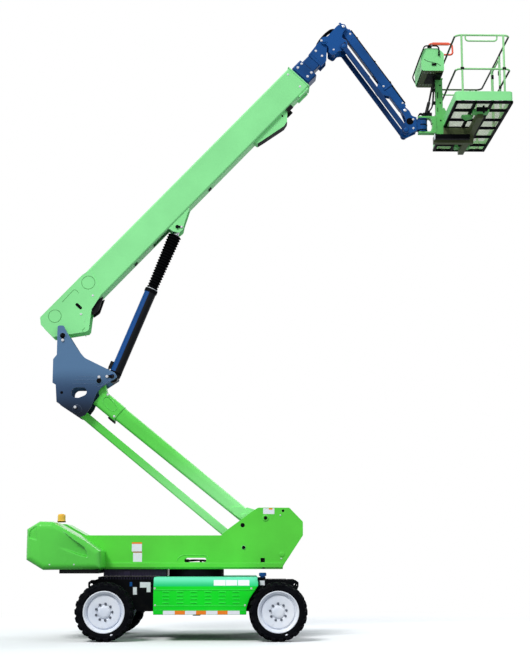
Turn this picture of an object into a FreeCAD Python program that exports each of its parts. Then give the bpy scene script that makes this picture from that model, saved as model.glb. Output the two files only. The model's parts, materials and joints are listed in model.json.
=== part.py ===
import FreeCAD, Part
import os
from math import atan2, cos, degrees, hypot, radians, sin, tan

# Articulating telescopic boom lift with a battery chassis, parked with its arm raised. Millimetres.
# The frame is +Z up, +X towards the platform's end, +Y to the left. While the pieces are laid out, X is
# counted from the steered axle. The export moves every piece by ORIGIN_X, so the origin of the finished
# part is under the middle of its box, on the floor.

V = FreeCAD.Vector
LATERAL = V(0, 1, 0)

# ---- driving dimensions ----
WHEELBASE = 2500
TYRE_R, TYRE_W, OVERALL_W = 420, 305, 2490
RIM_R = 288
DECK_Z = 865                      # top of the chassis frame
SLEW_X, SLEW_R = 1280, 420
BASE_Z = 1020                     # underside of the turntable
SIDE_Y, SIDE_T = 400, 30          # inner face and thickness of the turntable's side plates
TAIL_X, TAIL_Y, SLOT_Y = -1165, 1165, 350

RISER_FOOT = (2330, 1780)         # pivot of the riser on the turntable
RISER_TILT, RISER_L = 39.3, 3333  # slope above the level, pivot to pivot
LINK_OFFSET = (-330, -440)        # from each riser pivot to the tie link's pivot
RAM_FOOT = (2575, 1240)           # base pin of the riser's rams
RAM_REACH, RAM_LEAD = 320, 35     # from the riser's pivot to the ram's lug, and its lead on the riser

BOOM_OFFSET = (-580, 710)         # from the riser's head pin to the main boom's pivot
LIFT_OFFSET = (200, 70)           # from the riser's head pin to the lift cylinder's base pin
BOOM_TILT = 46.7
BOOM_W, BOOM_BOTTOM, BOOM_TOP, BOOM_END = 310, 20, 470, 5670
LIFT_LUG = (2500, -65)            # lift cylinder's rod pin, in the boom's own frame
NOSE_PIN = (6400, 365)            # levelled knuckle's pivot, in the boom's own frame

JIB_TILT, JIB_L, JIB_DROP = -54.9, 1731, 355
JIB_PIN_OFFSET = (315, 260)       # from the nose pin to the jib's upper pivot
JIB_RAM_OFFSET = (22, -292)       # from the jib's upper pivot to its cylinder's base pin
ROTATOR_X = 290                   # from the jib's lower end pins to the platform's turning axis

FLOOR_X, FLOOR_Z, FLOOR_W, FLOOR_L = 5240, 8080, 890, 2440
RAIL_H, RAIL_R = 1110, 15
PLATFORM_FRONT = FLOOR_X + FLOOR_W

ORIGIN_X = (TAIL_X + PLATFORM_FRONT) / 2
PIN_GAP = 0.05                    # radial running clearance of every hinge pin
TYRE_Y = OVERALL_W / 2 - TYRE_W   # inner face of a tyre


def add(point, offset):
    return point[0] + offset[0], point[1] + offset[1]


def polar(point, length, angle):
    """The XZ point at this length and slope from another one."""
    return point[0] + length * cos(radians(angle)), point[1] + length * sin(radians(angle))


RISER_HEAD = polar(RISER_FOOT, RISER_L, 180 - RISER_TILT)
LINK_FOOT, LINK_HEAD = add(RISER_FOOT, LINK_OFFSET), add(RISER_HEAD, LINK_OFFSET)
RAM_LUG = polar(RISER_FOOT, RAM_REACH, 180 - RISER_TILT + RAM_LEAD)
BOOM_PIN, LIFT_FOOT = add(RISER_HEAD, BOOM_OFFSET), add(RISER_HEAD, LIFT_OFFSET)


def on_boom(u, v):
    """An XZ point given along and above the main boom's own axis."""
    return polar(polar(BOOM_PIN, u, BOOM_TILT), v, BOOM_TILT + 90)


LIFT_HEAD, NOSE = on_boom(*LIFT_LUG), on_boom(*NOSE_PIN)
JIB_TOP = add(NOSE, JIB_PIN_OFFSET)
JIB_LOW = add(JIB_TOP, (0, -JIB_DROP))
JIB_RAM_FOOT, JIB_RAM_PIN_R = add(JIB_TOP, JIB_RAM_OFFSET), 20
JIB_END, JIB_END_LOW = polar(JIB_TOP, JIB_L, JIB_TILT), polar(JIB_LOW, JIB_L, JIB_TILT)
TURN_X = JIB_END[0] + ROTATOR_X

made = {}


def put(name, *solids):
    """Keeps the solids of one node, joined where they meet."""
    shape = solids[0] if len(solids) == 1 else solids[0].fuse(list(solids[1:])).removeSplitter()
    made[name] = shape


# ---- shapes ----
def outline(points):
    """A closed XZ wire at y = 0. A point may carry a third value, the radius of its round corner."""
    corners = []
    for i, point in enumerate(points):
        here = V(point[0], 0, point[1])
        radius = point[2] if len(point) > 2 else 0
        if not radius:
            corners.append((here, here, None))
            continue
        before = V(points[i - 1][0], 0, points[i - 1][1]) - here
        after = V(points[(i + 1) % len(points)][0], 0, points[(i + 1) % len(points)][1]) - here
        half = before.getAngle(after) / 2
        before.normalize()
        after.normalize()
        middle = (before + after).normalize() * (radius / sin(half) - radius)
        reach = radius / tan(half)
        corners.append((here + before * reach, here + after * reach, here + middle))
    edges = []
    for i, (start, end, middle) in enumerate(corners):
        if middle:
            edges.append(Part.Arc(start, middle, end).toShape())
        following = corners[(i + 1) % len(corners)][0]
        if end.distanceToPoint(following) > 1e-6:
            edges.append(Part.LineSegment(end, following).toShape())
    return Part.Wire(edges)


def slab(points, low_y, high_y):
    """An XZ outline made solid from one Y to another."""
    face = Part.Face(outline(points))
    face.translate(V(0, low_y, 0))
    return face.extrude(V(0, high_y - low_y, 0))


def block(low, high):
    return Part.makeBox(*[b - a for a, b in zip(low, high)], V(*low))


def case(low, high, wall):
    """A closed sheet-metal box."""
    return block(low, high).cut(block([v + wall for v in low], [v - wall for v in high]))


def bar(start, end, radius):
    """A round bar between two 3-D points."""
    direction = V(*end) - V(*start)
    return Part.makeCylinder(radius, direction.Length, V(*start), direction)


def cross(point, half, radius):
    """A round bar along Y, through an XZ point, from -half to half."""
    return bar((point[0], -half, point[1]), (point[0], half, point[1]), radius)


def ends(point, inner, outer, radius):
    """Two like discs along Y on one axis, one each side."""
    near = bar((point[0], -outer, point[1]), (point[0], -inner, point[1]), radius)
    far = bar((point[0], inner, point[1]), (point[0], outer, point[1]), radius)
    return [near, far]


def shrunk(points, by, middle):
    """The outline moved in towards a middle point on each axis."""
    def toward(value, target):
        return value + by * (1 if value < target else -1)
    return [(toward(x, middle[0]), toward(z, middle[1])) for x, z, *_ in points]


def about(middle, offsets):
    """Outline points given from a middle point."""
    return [(middle[0] + x, middle[1] + z, *radius) for x, z, *radius in offsets]


def both(shape):
    """A shape and its mirror image in the middle plane."""
    return [shape, shape.mirror(V(0, 0, 0), LATERAL)]


def turned(shape, origin, tilt):
    """Moves a shape drawn along +X from the origin to an XZ point, and raises its +X end by tilt."""
    shape.Placement = FreeCAD.Placement(V(origin[0], 0, origin[1]), FreeCAD.Rotation(LATERAL, -tilt))
    return shape


def rounded_box(x0, x1, half_y, z0, z1, radius):
    """A box along X whose four long edges are round."""
    box = block((x0, -half_y, z0), (x1, half_y, z1))
    long_edges = [e for e in box.Edges if abs(e.Vertexes[0].X - e.Vertexes[1].X) > 1]
    return box.makeFillet(radius, long_edges)


def box_tube(x0, x1, half_y, z0, z1, radius, wall):
    """An open-ended box tube along X."""
    inner = rounded_box(x0 - 1, x1 + 1, half_y - wall, z0 + wall, z1 - wall, radius - wall / 2)
    return rounded_box(x0, x1, half_y, z0, z1, radius).cut(inner)


def rail(points, radius, bend):
    """A round bar through 3-D points, with a bend of one radius at each."""
    places = [V(*p) for p in points]
    parts, start = [], places[0]
    for i in range(1, len(places) - 1):
        before = (places[i - 1] - places[i]).normalize()
        after = (places[i + 1] - places[i]).normalize()
        half = before.getAngle(after) / 2
        reach = bend / tan(half)
        corner = places[i] + before * reach
        parts.append(bar(start, corner, radius))
        section = Part.Face(Part.Wire(Part.makeCircle(radius, corner, before)))
        middle = places[i] + (before + after).normalize() * (bend / sin(half))
        parts.append(section.revolve(middle, after.cross(before), 180 - degrees(2 * half)))
        start = places[i] + after * reach
    parts.append(bar(start, places[-1], radius))
    return parts[0].fuse(parts[1:])


def revolved(points, centre_x, centre_z):
    """A ring about an axis along Y: the points are (radius, y)."""
    wire = Part.makePolygon([V(centre_x + r, y, centre_z) for r, y in points + points[:1]])
    return Part.Face(wire).revolve(V(centre_x, 0, centre_z), LATERAL, 360)


# ---- wheels: solid tyres on dished rims ----
def wheel(name, x, side):
    """side is +1 on the left and -1 on the right."""
    near, far = TYRE_Y, TYRE_Y + TYRE_W
    shoulder, seat = 38, 250
    tyre = [(RIM_R, near + 25), (TYRE_R - shoulder, near), (TYRE_R, near + shoulder),
            (TYRE_R, far - shoulder), (TYRE_R - shoulder, far), (RIM_R, far - 25)]
    rim = [(seat, near + 30), (RIM_R - 0.3, near + 30), (RIM_R - 0.3, far - 30), (seat + 12, far - 30),
           (seat - 5, far - 110), (150, far - 120), (128, far - 88), (0.01, far - 88),
           (0.01, far - 108), (120, far - 108), (140, far - 140), (seat - 12, far - 132)]
    for kind, profile in (("tyre", tyre), ("rim", rim)):
        placed = [(r, side * y) for r, y in profile]
        put(kind + "_" + name, revolved(placed, x, TYRE_R))


for end, station in (("steered", 0), ("fixed", WHEELBASE)):
    wheel(end + "_left", station, 1)
    wheel(end + "_right", station, -1)

# ---- chassis ----
FRAME_Y, FRAME_WALL = 420, 14
STEP_X, STEP_Z = 300, 500         # where the underside steps up over the steering cylinder
RISE = 140 / 450                  # slope of the underside at the fixed axle
frame_middle = (1260, 650)
frame_points = [(-205, 560), (-205, DECK_Z - 20), (-150, DECK_Z), (2660, DECK_Z), (2700, 830), (2700, 540),
                (2250, 400), (420, 400), (STEP_X, STEP_Z), (-160, 540)]
frame_body = slab(frame_points, -FRAME_Y, FRAME_Y)
frame_room = slab(shrunk(frame_points, FRAME_WALL, frame_middle), FRAME_WALL - FRAME_Y, FRAME_Y - FRAME_WALL)
LUG_Y, LUG_T, LUG_BORE_R = 385, 25, 22.5
tie_downs = []
for root_x, eye_x, eye_z in ((2700, 2778, 785), (-205, -278, 785)):
    way = 1 if eye_x > root_x else -1
    ear = slab([(root_x - way * 20, 640), (root_x - way * 20, DECK_Z - 5), (eye_x, DECK_Z - 5, 30),
                (eye_x + way * 50, eye_z + 40, 20), (eye_x + way * 50, eye_z - 20, 40), (eye_x, 640, 30)],
               LUG_Y - LUG_T, LUG_Y)
    tie_downs += both(ear.cut(cross((eye_x, eye_z), LUG_Y + LUG_T, LUG_BORE_R)))
plinth = block((-180, -385, DECK_Z - 5), (840, 385, DECK_Z + 40))
put("chassis_frame", frame_body.cut(frame_room), plinth, *tie_downs)


def under_fixed(x):
    """Height of the frame's sloping underside above the fixed axle."""
    return 400 + (x - 2250) * RISE


def under_steered(x):
    """The same above the steered axle."""
    return STEP_Z + (STEP_X - x) * 40 / 480


HUB_R, BEAM_Y, BEAM_HALF, BEAM_WALL = 150, 560, 120, 12
DISC_Y = OVERALL_W / 2 - 148      # inner face of a rim's disc


def axle_beam(x, low_z, under, half_y):
    """A box beam that reaches up to the frame's underside."""
    solid = []
    for wall in (0, BEAM_WALL):
        reach = BEAM_HALF - wall
        solid.append(slab([(x - reach, low_z + wall), (x + reach, low_z + wall),
                           (x + reach, under(x + reach) - wall), (x - reach, under(x - reach) - wall)],
                          wall - half_y, half_y - wall))
    return solid


beam, beam_room = axle_beam(WHEELBASE, 300, under_fixed, BEAM_Y)
drums = [*ends((WHEELBASE, TYRE_R), BEAM_Y - 20, DISC_Y - 8, HUB_R),
         *ends((WHEELBASE, TYRE_R), BEAM_Y - 40, TYRE_Y - 60, HUB_R + 55)]
drum_rooms = ends((WHEELBASE, TYRE_R), BEAM_Y + 20, DISC_Y - 33, HUB_R - 25)
put("axle_fixed", beam.fuse(drums).cut([beam_room, *drum_rooms]))

KING_Y, KING_R, EAR_T = 850, 28, 26
KING_LOW, KING_HIGH = 296, 544
beam, beam_room = axle_beam(0, 330, under_steered, 640)
ears = []
for low in (KING_LOW - EAR_T, KING_HIGH):
    ear = block((-75, 640, low), (75, KING_Y + 60, low + EAR_T))
    ears += both(ear.cut(Part.makeCylinder(KING_R + PIN_GAP, 3 * EAR_T, V(0, KING_Y, low - EAR_T))))
web = block((-75, 625, KING_LOW - EAR_T), (75, 700, KING_HIGH + EAR_T))
put("axle_steered", beam.cut(beam_room), *ears, *both(web))


def steering_knuckle(name, side):
    """Kingpin, hub drive housing and steering arm of one steered wheel."""
    post = Part.makeCylinder(58, KING_HIGH - KING_LOW - 10, V(0, side * KING_Y, KING_LOW + 5))
    pin = Part.makeCylinder(KING_R, KING_HIGH - KING_LOW + 2 * EAR_T + 8,
                            V(0, side * KING_Y, KING_LOW - EAR_T - 4))
    hub = bar((0, side * (KING_Y + 20), TYRE_R), (0, side * (DISC_Y - 8), TYRE_R), 100)
    arm = block((0, side * KING_Y - 30, 350), (ARM_X + 35, side * KING_Y + 30, 375))
    put("steering_knuckle_" + name, post, pin, hub, arm)


ARM_X = 210
steering_knuckle("left", 1)
steering_knuckle("right", -1)
ROD_Z = 408
ram = bar((ARM_X, -230, ROD_Z), (ARM_X, 230, ROD_Z), 45)
seats = both(block((BEAM_HALF, 140, ROD_Z - 30), (ARM_X, 200, ROD_Z + 30)))
bore = bar((ARM_X, -240, ROD_Z), (ARM_X, 240, ROD_Z), 22.1)
put("steering_cylinder", ram.fuse(seats).cut(bore))
studs = [Part.makeCylinder(20, 28, V(ARM_X, side * KING_Y, 380)) for side in (-1, 1)]
put("steering_rod", bar((ARM_X, -KING_Y - 20, ROD_Z), (ARM_X, KING_Y + 20, ROD_Z), 22), *studs)

COVER_Y, COVER_WALL = 1150, 8
cover_points = [(700, 380, 20), (700, 880, 20), (735, 910, 20), (2180, 910, 20), (2212, 880, 20), (2212, 790),
                (2085, 600), (2045, 480), (2040, 380, 20)]
cover = slab(cover_points, FRAME_Y + 0.5, COVER_Y)
room = slab(shrunk(cover_points, COVER_WALL, (1400, 700)), FRAME_Y + COVER_WALL, COVER_Y - COVER_WALL)
battery = block((800, FRAME_Y + 60, 440), (1950, COVER_Y - 60, 840))
put("chassis_covers", *both(cover.cut(room)))
put("battery_packs", *both(battery))

ring = Part.makeCylinder(SLEW_R, BASE_Z - DECK_Z - 5, V(SLEW_X, 0, DECK_Z))
put("slew_bearing", ring.cut(Part.makeCylinder(SLEW_R - 110, 200, V(SLEW_X, 0, DECK_Z - 10))))

# ---- turntable ----
FLOOR_T, RAIL_STRIP = 25, 65
SIDE_TOP = 1520
base = block((-600, -SIDE_Y - SIDE_T, BASE_Z), (2590, SIDE_Y + SIDE_T, BASE_Z + FLOOR_T))
back = block((-600, -SIDE_Y, BASE_Z + FLOOR_T), (-570, SIDE_Y, 1150))
front = block((2560, -SIDE_Y, BASE_Z + FLOOR_T), (2590, SIDE_Y, 1120))
WING_Y = 1000                     # half width of the beam that carries the counterweights
wing = case((-680, -WING_Y, 962), (-110, WING_Y, BASE_Z), 10)
put("turntable_base", base, back, front, wing)

plate_z = BASE_Z + FLOOR_T
side_points = [(-600, plate_z), (-600, SIDE_TOP), (1660, SIDE_TOP), (1760, 1610, 60), (2110, 1865, 60),
               (2215, 1935, 60), (2690, 1935, 30), (2895, 1725, 30), (2895, 1520, 30), (2600, plate_z + 30),
               (2590, plate_z)]
side_plate = slab(side_points, SIDE_Y, SIDE_Y + SIDE_T)
strip = block((-600, SIDE_Y + SIDE_T, plate_z), (2590, SIDE_Y + SIDE_T + 22, plate_z + RAIL_STRIP))
PIVOT_R, LINK_R, RAM_R = 45, 32, 30
for point, radius in ((RISER_FOOT, PIVOT_R), (LINK_FOOT, LINK_R), (RAM_FOOT, RAM_R)):
    side_plate = side_plate.cut(cross(point, SIDE_Y + 2 * SIDE_T, radius + PIN_GAP))
holes = [[(2255, 1120), (2255, 1185), (2320, 1185), (2320, 1120)],
         [(1100, 1120, 30), (1100, 1185, 30), (1440, 1185, 30), (1440, 1120, 30)]]
access = [cross((1985, 1672), SIDE_Y + 2 * SIDE_T, 33), cross((2595, 1888), SIDE_Y + 2 * SIDE_T, 20),
          *[slab(hole, SIDE_Y - 5, SIDE_Y + 2 * SIDE_T) for hole in holes]]
put("turntable_sides", *both(side_plate.fuse(strip).cut(access)))

cowl_points = [(TAIL_X, 1160), (TAIL_X, 1600), (-970, 1712), (-690, 1704), (-370, 1487), (-224, 1402),
               (-75, 1320), (-60, 1050), (-75, 1022), (-900, 1012)]
COWL_MIDDLE, COWL_BULGE, COWL_WALL = (-600, 1330), 70, 10


def bulged(points, low_y, high_y, bulge):
    """A slab whose outer face is drawn in at its edges, as on a moulded cover."""
    full, small = outline(points), outline(shrunk(points, bulge * 0.6, COWL_MIDDLE))
    full.translate(V(0, high_y - bulge, 0))
    small.translate(V(0, high_y, 0))
    return slab(points, low_y, high_y - bulge).fuse(Part.makeLoft([full, small], True, True))


cowl = bulged(cowl_points, SLOT_Y, TAIL_Y, COWL_BULGE)
cowl = cowl.cut(bulged(shrunk(cowl_points, COWL_WALL, COWL_MIDDLE), SLOT_Y + COWL_WALL, TAIL_Y - COWL_WALL,
                       COWL_BULGE))
weight_points = [(-1120, 1190), (-1120, 1560), (-965, 1660), (-710, 1650), (-390, 1432), (-240, 1345),
                 (-130, 1285), (-130, BASE_Z), (-670, BASE_Z), (-880, 1075)]
side_room = block((-605, SIDE_Y - 5, 1000), (0, SIDE_Y + SIDE_T + 27, SIDE_TOP + 5))
base_room = block((-605, SLOT_Y - 5, 1000), (0, SIDE_Y + 5, 1200))
wing_room = block((-690, SLOT_Y - 5, 1000), (-100, WING_Y + 90, 1040))
put("tail_cowls", *both(cowl.cut([side_room, base_room, wing_room])))
WEIGHT_IN, WEIGHT_OUT = SIDE_Y + SIDE_T + 30, TAIL_Y - 95
put("counterweight", *both(slab(weight_points, WEIGHT_IN, WEIGHT_OUT)))

put("belly_box", case((-100, -385, DECK_Z + 52), (835, 385, BASE_Z), 5))
put("slew_drive", Part.makeCylinder(95, 60, V(1560, -250, BASE_Z + FLOOR_T)),
    Part.makeCylinder(70, 280, V(1560, -250, BASE_Z + FLOOR_T)))
BEACON_X, BEACON_Y = -692, -800
cowl_top = 1712 - (BEACON_X + 970) * 8 / 280
put("beacon", Part.makeCylinder(64, 20, V(BEACON_X, BEACON_Y, cowl_top + 3)),
    Part.makeCylinder(58, 112, V(BEACON_X, BEACON_Y, cowl_top + 10)))
put("ground_control_box", case((250, SIDE_Y + SIDE_T, 1180), (620, SIDE_Y + SIDE_T + 140, 1470), 4))

# ---- riser, its tie link and its rams ----
HEAD_Y, TUBE_Y = 190, 150
LINK_Y = 60
KNUCKLE_IN, KNUCKLE_T = 200, 25


def down_riser(shape):
    """Places a shape drawn from the riser's head pin, along +X to its foot."""
    return turned(shape, RISER_HEAD, -RISER_TILT)


def eased(shape, upper_r, lower_r):
    """Rounds a riser tube's long edges, more so along its top."""
    for radius, upper in ((upper_r, True), (lower_r, False)):
        level = [e for e in shape.Edges if e.Length > 400 and abs(e.Vertexes[0].Y - e.Vertexes[1].Y) < 1]
        shape = shape.makeFillet(radius, [e for e in level if (e.CenterOfMass.z > -150) == upper])
    return shape


tube = slab([(200, -302), (200, -60), (RISER_L - 100, -60), (RISER_L - 100, -266)], -TUBE_Y, TUBE_Y)
tube = eased(tube, 90, 35)
hollow = slab([(210, -292), (210, -70), (RISER_L - 110, -70), (RISER_L - 110, -256)],
              10 - TUBE_Y, TUBE_Y - 10)
hollow = eased(hollow, 80, 25)
sleeve = eased(block((150, -TUBE_Y - 14, -326), (560, TUBE_Y + 14, -52)), 95, 45)
foot_points = [(RISER_L - 330, -262), (RISER_L - 330, -50, 30), (RISER_L - 60, 70, 60),
               (RISER_L + 75, 30, 60), (RISER_L + 75, -80, 60), (RISER_L - 90, -262, 40)]
head_points = [(205, -63), (220, -100), (150, -180), (60, -100, 60), (-85, -60, 60), (-60, 85, 60),
               (20, 75, 30)]
riser_body = down_riser(tube.cut(hollow).fuse([sleeve.cut(hollow), slab(foot_points, -TUBE_Y, TUBE_Y),
                                               slab(head_points, -TUBE_Y, TUBE_Y)]))
cheek = down_riser(slab([(RISER_L - 520, -200, 40), (RISER_L - 380, -90, 60), (RISER_L - 100, -60, 60),
                         (RISER_L - 120, -230, 60), (RISER_L - 420, -255, 60)], TUBE_Y, TUBE_Y + 20))
PIN_END = SIDE_Y + SIDE_T + 6
RAM_Y, RAM_EYE_Y = 270, 40
put("riser", riser_body, *both(cheek), cross(RISER_FOOT, SIDE_Y - 5, PIVOT_R + 5),
    cross(RISER_FOOT, PIN_END, PIVOT_R), cross(RISER_HEAD, HEAD_Y, 70),
    cross(RISER_HEAD, KNUCKLE_IN + KNUCKLE_T + 6, 38), *ends(RAM_LUG, TUBE_Y + 20, RAM_Y - RAM_EYE_Y - 6, 45))

link = rounded_box(60, RISER_L - 60, LINK_Y, -62, 62, 25)
link = turned(link.cut(rounded_box(90, RISER_L - 90, LINK_Y - 8, -54, 54, 18)), LINK_HEAD, -RISER_TILT)
link_eyes = [cross(LINK_HEAD, LINK_Y, 72), cross(LINK_FOOT, LINK_Y, 72)]
put("riser_tie_link", link, *link_eyes, cross(LINK_FOOT, PIN_END, LINK_R),
    cross(LINK_FOOT, SIDE_Y - 5, LINK_R + 14), cross(LINK_HEAD, KNUCKLE_IN + KNUCKLE_T + 6, LINK_R),
    cross(LINK_HEAD, KNUCKLE_IN - 5, LINK_R + 14))


GLAND = 1.07                      # a gland's radius over its barrel's


def cylinder_parts(foot, head, closed, stroke_left, barrel_r, rod_r, lateral, eye_half, eye_r):
    """The barrel and rod of one ram between two XZ points.

    closed is the barrel's length, and stroke_left is how much further the rod can go in from here."""
    tilt = degrees(atan2(head[1] - foot[1], head[0] - foot[0]))
    length = hypot(head[0] - foot[0], head[1] - foot[1])
    outer = Part.makeCylinder(barrel_r, closed - eye_r * 0.7, V(eye_r * 0.7, 0, 0), V(1, 0, 0))
    gland = Part.makeCylinder(barrel_r * GLAND, 45, V(closed - 15, 0, 0), V(1, 0, 0))
    bore = Part.makeCylinder(rod_r + 0.1, closed, V(2 * eye_r, 0, 0), V(1, 0, 0))
    barrel = outer.fuse([gland, bar((0, -eye_half, 0), (0, eye_half, 0), eye_r)]).cut(bore)
    back = 2 * eye_r + 10 + stroke_left
    rod = Part.makeCylinder(rod_r, length - back, V(back, 0, 0), V(1, 0, 0))
    rod = rod.fuse([bar((length, -eye_half, 0), (length, eye_half, 0), eye_r)])
    placed = []
    for shape in (barrel, rod):
        shape = turned(shape, foot, tilt)
        shape.translate(V(0, lateral, 0))
        placed.append(shape)
    return placed


barrel, rod = cylinder_parts(RAM_FOOT, RAM_LUG, 500, 195, 50, 30, RAM_Y, RAM_EYE_Y, 45)
inner_pin = bar((RAM_FOOT[0], RAM_Y, RAM_FOOT[1]), (RAM_FOOT[0], PIN_END, RAM_FOOT[1]), RAM_R)
put("riser_cylinder_barrels", *both(barrel.fuse(inner_pin)))
put("riser_cylinder_rods", *both(rod))

# ---- upright knuckle between the riser and the main boom ----
plate_offsets = [(-665, 870, 30), (-570, 870, 30), (-520, 770), (-340, 490, 150), (-230, 360, 150),
                 (240, 130, 40), (285, 60, 30), (150, -30), (30, -110, 60), (-40, -210, 60), (-110, -400),
                 (-200, -530, 60), (-285, -570, 50), (-650, -330), (-670, -60), (-720, -30), (-720, 340),
                 (-665, 410)]
window_offsets = [(-425, -105, 80), (-420, -260, 60), (-310, -265, 60), (-185, -210, 60), (-190, -105, 60)]
plate = slab(about(RISER_HEAD, plate_offsets), KNUCKLE_IN, KNUCKLE_IN + KNUCKLE_T)
plate = plate.cut(slab(about(RISER_HEAD, window_offsets), KNUCKLE_IN - 5, KNUCKLE_IN + KNUCKLE_T + 5))
for point, radius in ((RISER_HEAD, 38), (LINK_HEAD, LINK_R), (BOOM_PIN, 40), (LIFT_FOOT, 36)):
    plate = plate.cut(cross(point, 2 * KNUCKLE_IN, radius + PIN_GAP))
tubes = [cross(add(RISER_HEAD, (-620, 250)), KNUCKLE_IN, 45),
         cross(add(RISER_HEAD, (-600, -250)), KNUCKLE_IN, 40)]
put("knuckle", *both(plate), *tubes)

# ---- main boom: outer, middle and tip sections ----
def on_main(shape):
    return turned(shape, BOOM_PIN, BOOM_TILT)


half = BOOM_W / 2
outer = box_tube(350, BOOM_END, half, BOOM_BOTTOM, BOOM_TOP, 30, 10)
cheek_points = [(-35, 475, 20), (-112, 385, 30), (-120, 110, 20), (325, -229, 20), (400, -60), (710, 0),
                (900, 40), (1050, 440), (900, 475)]
boom_cheek = slab(cheek_points, half, half + 12)
boss = [cross((0, 0), half + 30, 75), cross((0, 0), KNUCKLE_IN + KNUCKLE_T + 6, 40)]
rear_wall = slab([(350, 25), (380, 25), (380, 465), (350, 465)], 5 - half, half - 5)
tail_box = slab([(-60, 440), (-100, 130), (60, 20), (360, 20), (360, 470), (-20, 470)], -half, half)
tail_box = tail_box.cut(slab([(-120, 430), (-120, 100), (60, 32), (400, 32), (400, 450), (-120, 450)],
                             12 - half, half - 12))
POCKET_Y, LUG_IN = 100, 112       # the bottom plate is open between the lugs, round the cylinder's head
pocket = block((2030, -POCKET_Y, 0), (2760, POCKET_Y, 50))
lug = slab([(2385, 25), (2400, -60, 30), (2450, -150, 50), (2530, -155, 50), (2610, -105, 60), (2880, 25)],
           LUG_IN, LUG_IN + 25)
lug_pins = [*ends(LIFT_LUG, LUG_IN + 20, LUG_IN + 39, 30), *ends(LIFT_LUG, 62, LUG_IN + 5, 24)]
rest_pad = slab([(4380, 25), (4392, -32, 15), (4496, -56), (4903, -141, 20), (4992, -124, 30), (5110, -20, 20),
                 (5110, 25)], -105, 105)
put("boom_outer", on_main(outer.fuse([*both(boom_cheek), *boss, rear_wall, tail_box, rest_pad]).cut(pocket)
                          .fuse([*both(lug), *lug_pins])))

MID_HALF, MID_BOTTOM, TIP_HALF, TIP_BOTTOM = 130, 75, 100, 148
mid = box_tube(460, 5710, MID_HALF, MID_BOTTOM, 418, 22, 9)
mid = mid.cut(block((450, -65, MID_BOTTOM - 5), (5600, 65, MID_BOTTOM + 20)))
collar = box_tube(5705, 5890, 150, 62, 428, 26, 26)
pads = [block((5800, TIP_HALF + 5, z), (5885, 126, z + 60)) for z in (160, 320)]
put("boom_middle", on_main(mid.fuse([collar, *[half for pad in pads for half in both(pad)]])))
tip = box_tube(560, 6120, TIP_HALF, TIP_BOTTOM, 392, 18, 8)
nose_points = [(6060, 112), (6190, 118, 20), (6365, 270, 30), (6440, 330, 30), (6440, 420, 40), (6330, 425),
               (6060, 398)]
NOSE_T = 20
nose_plate = slab(nose_points, 92, 92 + NOSE_T)
nose_web = slab([(6040, 151), (6075, 151), (6075, 388), (6040, 388)], -93, 93)
nose_boss = [cross(NOSE_PIN, 112, 55), cross(NOSE_PIN, 152, 28)]
put("boom_tip", on_main(tip.fuse([*both(nose_plate), nose_web, *nose_boss])))

# ---- main lift cylinder ----
barrel, rod = cylinder_parts(LIFT_FOOT, LIFT_HEAD, 1500, 790, 95, 50, 0, 55, 42)
lift_pin = cross(LIFT_FOOT, KNUCKLE_IN + KNUCKLE_T + 6, 36)
put("lift_cylinder_barrel", barrel, lift_pin, cross(LIFT_FOOT, KNUCKLE_IN - 5, 52), cross(LIFT_FOOT, 80, 75))
put("lift_cylinder_rod", rod)

# ---- jib: levelled knuckle, upper tube, twin lower links, cylinder ----
JIB_Y, JIB_T = 118, 20
jib_knuckle_offsets = [(-75, 20, 30), (-20, 75, 30), (60, 90, 40), (205, 262, 25), (262, 310, 20),
                       (345, 300, 30), (366, 250, 30), (312, 160, 50), (285, 70, 50), (378, 5, 30),
                       (385, -100, 40), (340, -155, 40), (225, -165, 50), (160, -245, 40), (70, -190, 40),
                       (75, -90, 60)]
jib_plate = slab(about(NOSE, jib_knuckle_offsets), JIB_Y, JIB_Y + JIB_T)
LEVEL_PIN = add(NOSE, (160, -180))
for point, radius in ((NOSE, 28), (JIB_TOP, 25), (JIB_LOW, 22), (JIB_RAM_FOOT, JIB_RAM_PIN_R)):
    jib_plate = jib_plate.cut(cross(point, 200, radius + PIN_GAP))
put("jib_knuckle", *both(jib_plate), cross(add(NOSE, (215, 115)), JIB_Y + 1, 32),
    cross(LEVEL_PIN, JIB_Y + JIB_T + 8, 24))


def on_jib(shape):
    return turned(shape, JIB_TOP, JIB_TILT)


UPPER_Y, LOWER_IN, LOWER_OUT = 65, 147, 185
upper = box_tube(1244, JIB_L - 70, UPPER_Y, -54, 76, 14, 8)
sleeve = box_tube(70, 1250, UPPER_Y + 8, -64, 84, 18, 10)
step_plate = rounded_box(1238, 1250, UPPER_Y + 5, -60, 80, 10)
head_room = block((930, -41, -70), (1350, 41, -40))
upper_eyes = [cross((0, 0), UPPER_Y, 62), cross((JIB_L, 0), UPPER_Y, 55),
              cross((0, 0), JIB_Y + JIB_T + 6, 25), cross((JIB_L, 0), 96, 25)]
top_web = slab([(20, -50), (110, -56), (110, 76), (20, 50)], -UPPER_Y - 1, UPPER_Y + 1)
end_web = slab([(JIB_L - 110, -50), (JIB_L - 20, -45), (JIB_L - 20, 45), (JIB_L - 110, 70)],
               5 - UPPER_Y, UPPER_Y - 5)
RAM_HEAD = (1215, -140)
jib_lug = slab([(1080, -50), (1180, -186, 30), (1255, -184, 40), (1390, -50)], 44, UPPER_Y - 3)
upper = upper.fuse([sleeve, step_plate, *upper_eyes, top_web, end_web]).cut(head_room)
put("jib_upper_tube", on_jib(upper.fuse(both(jib_lug))))

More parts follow.
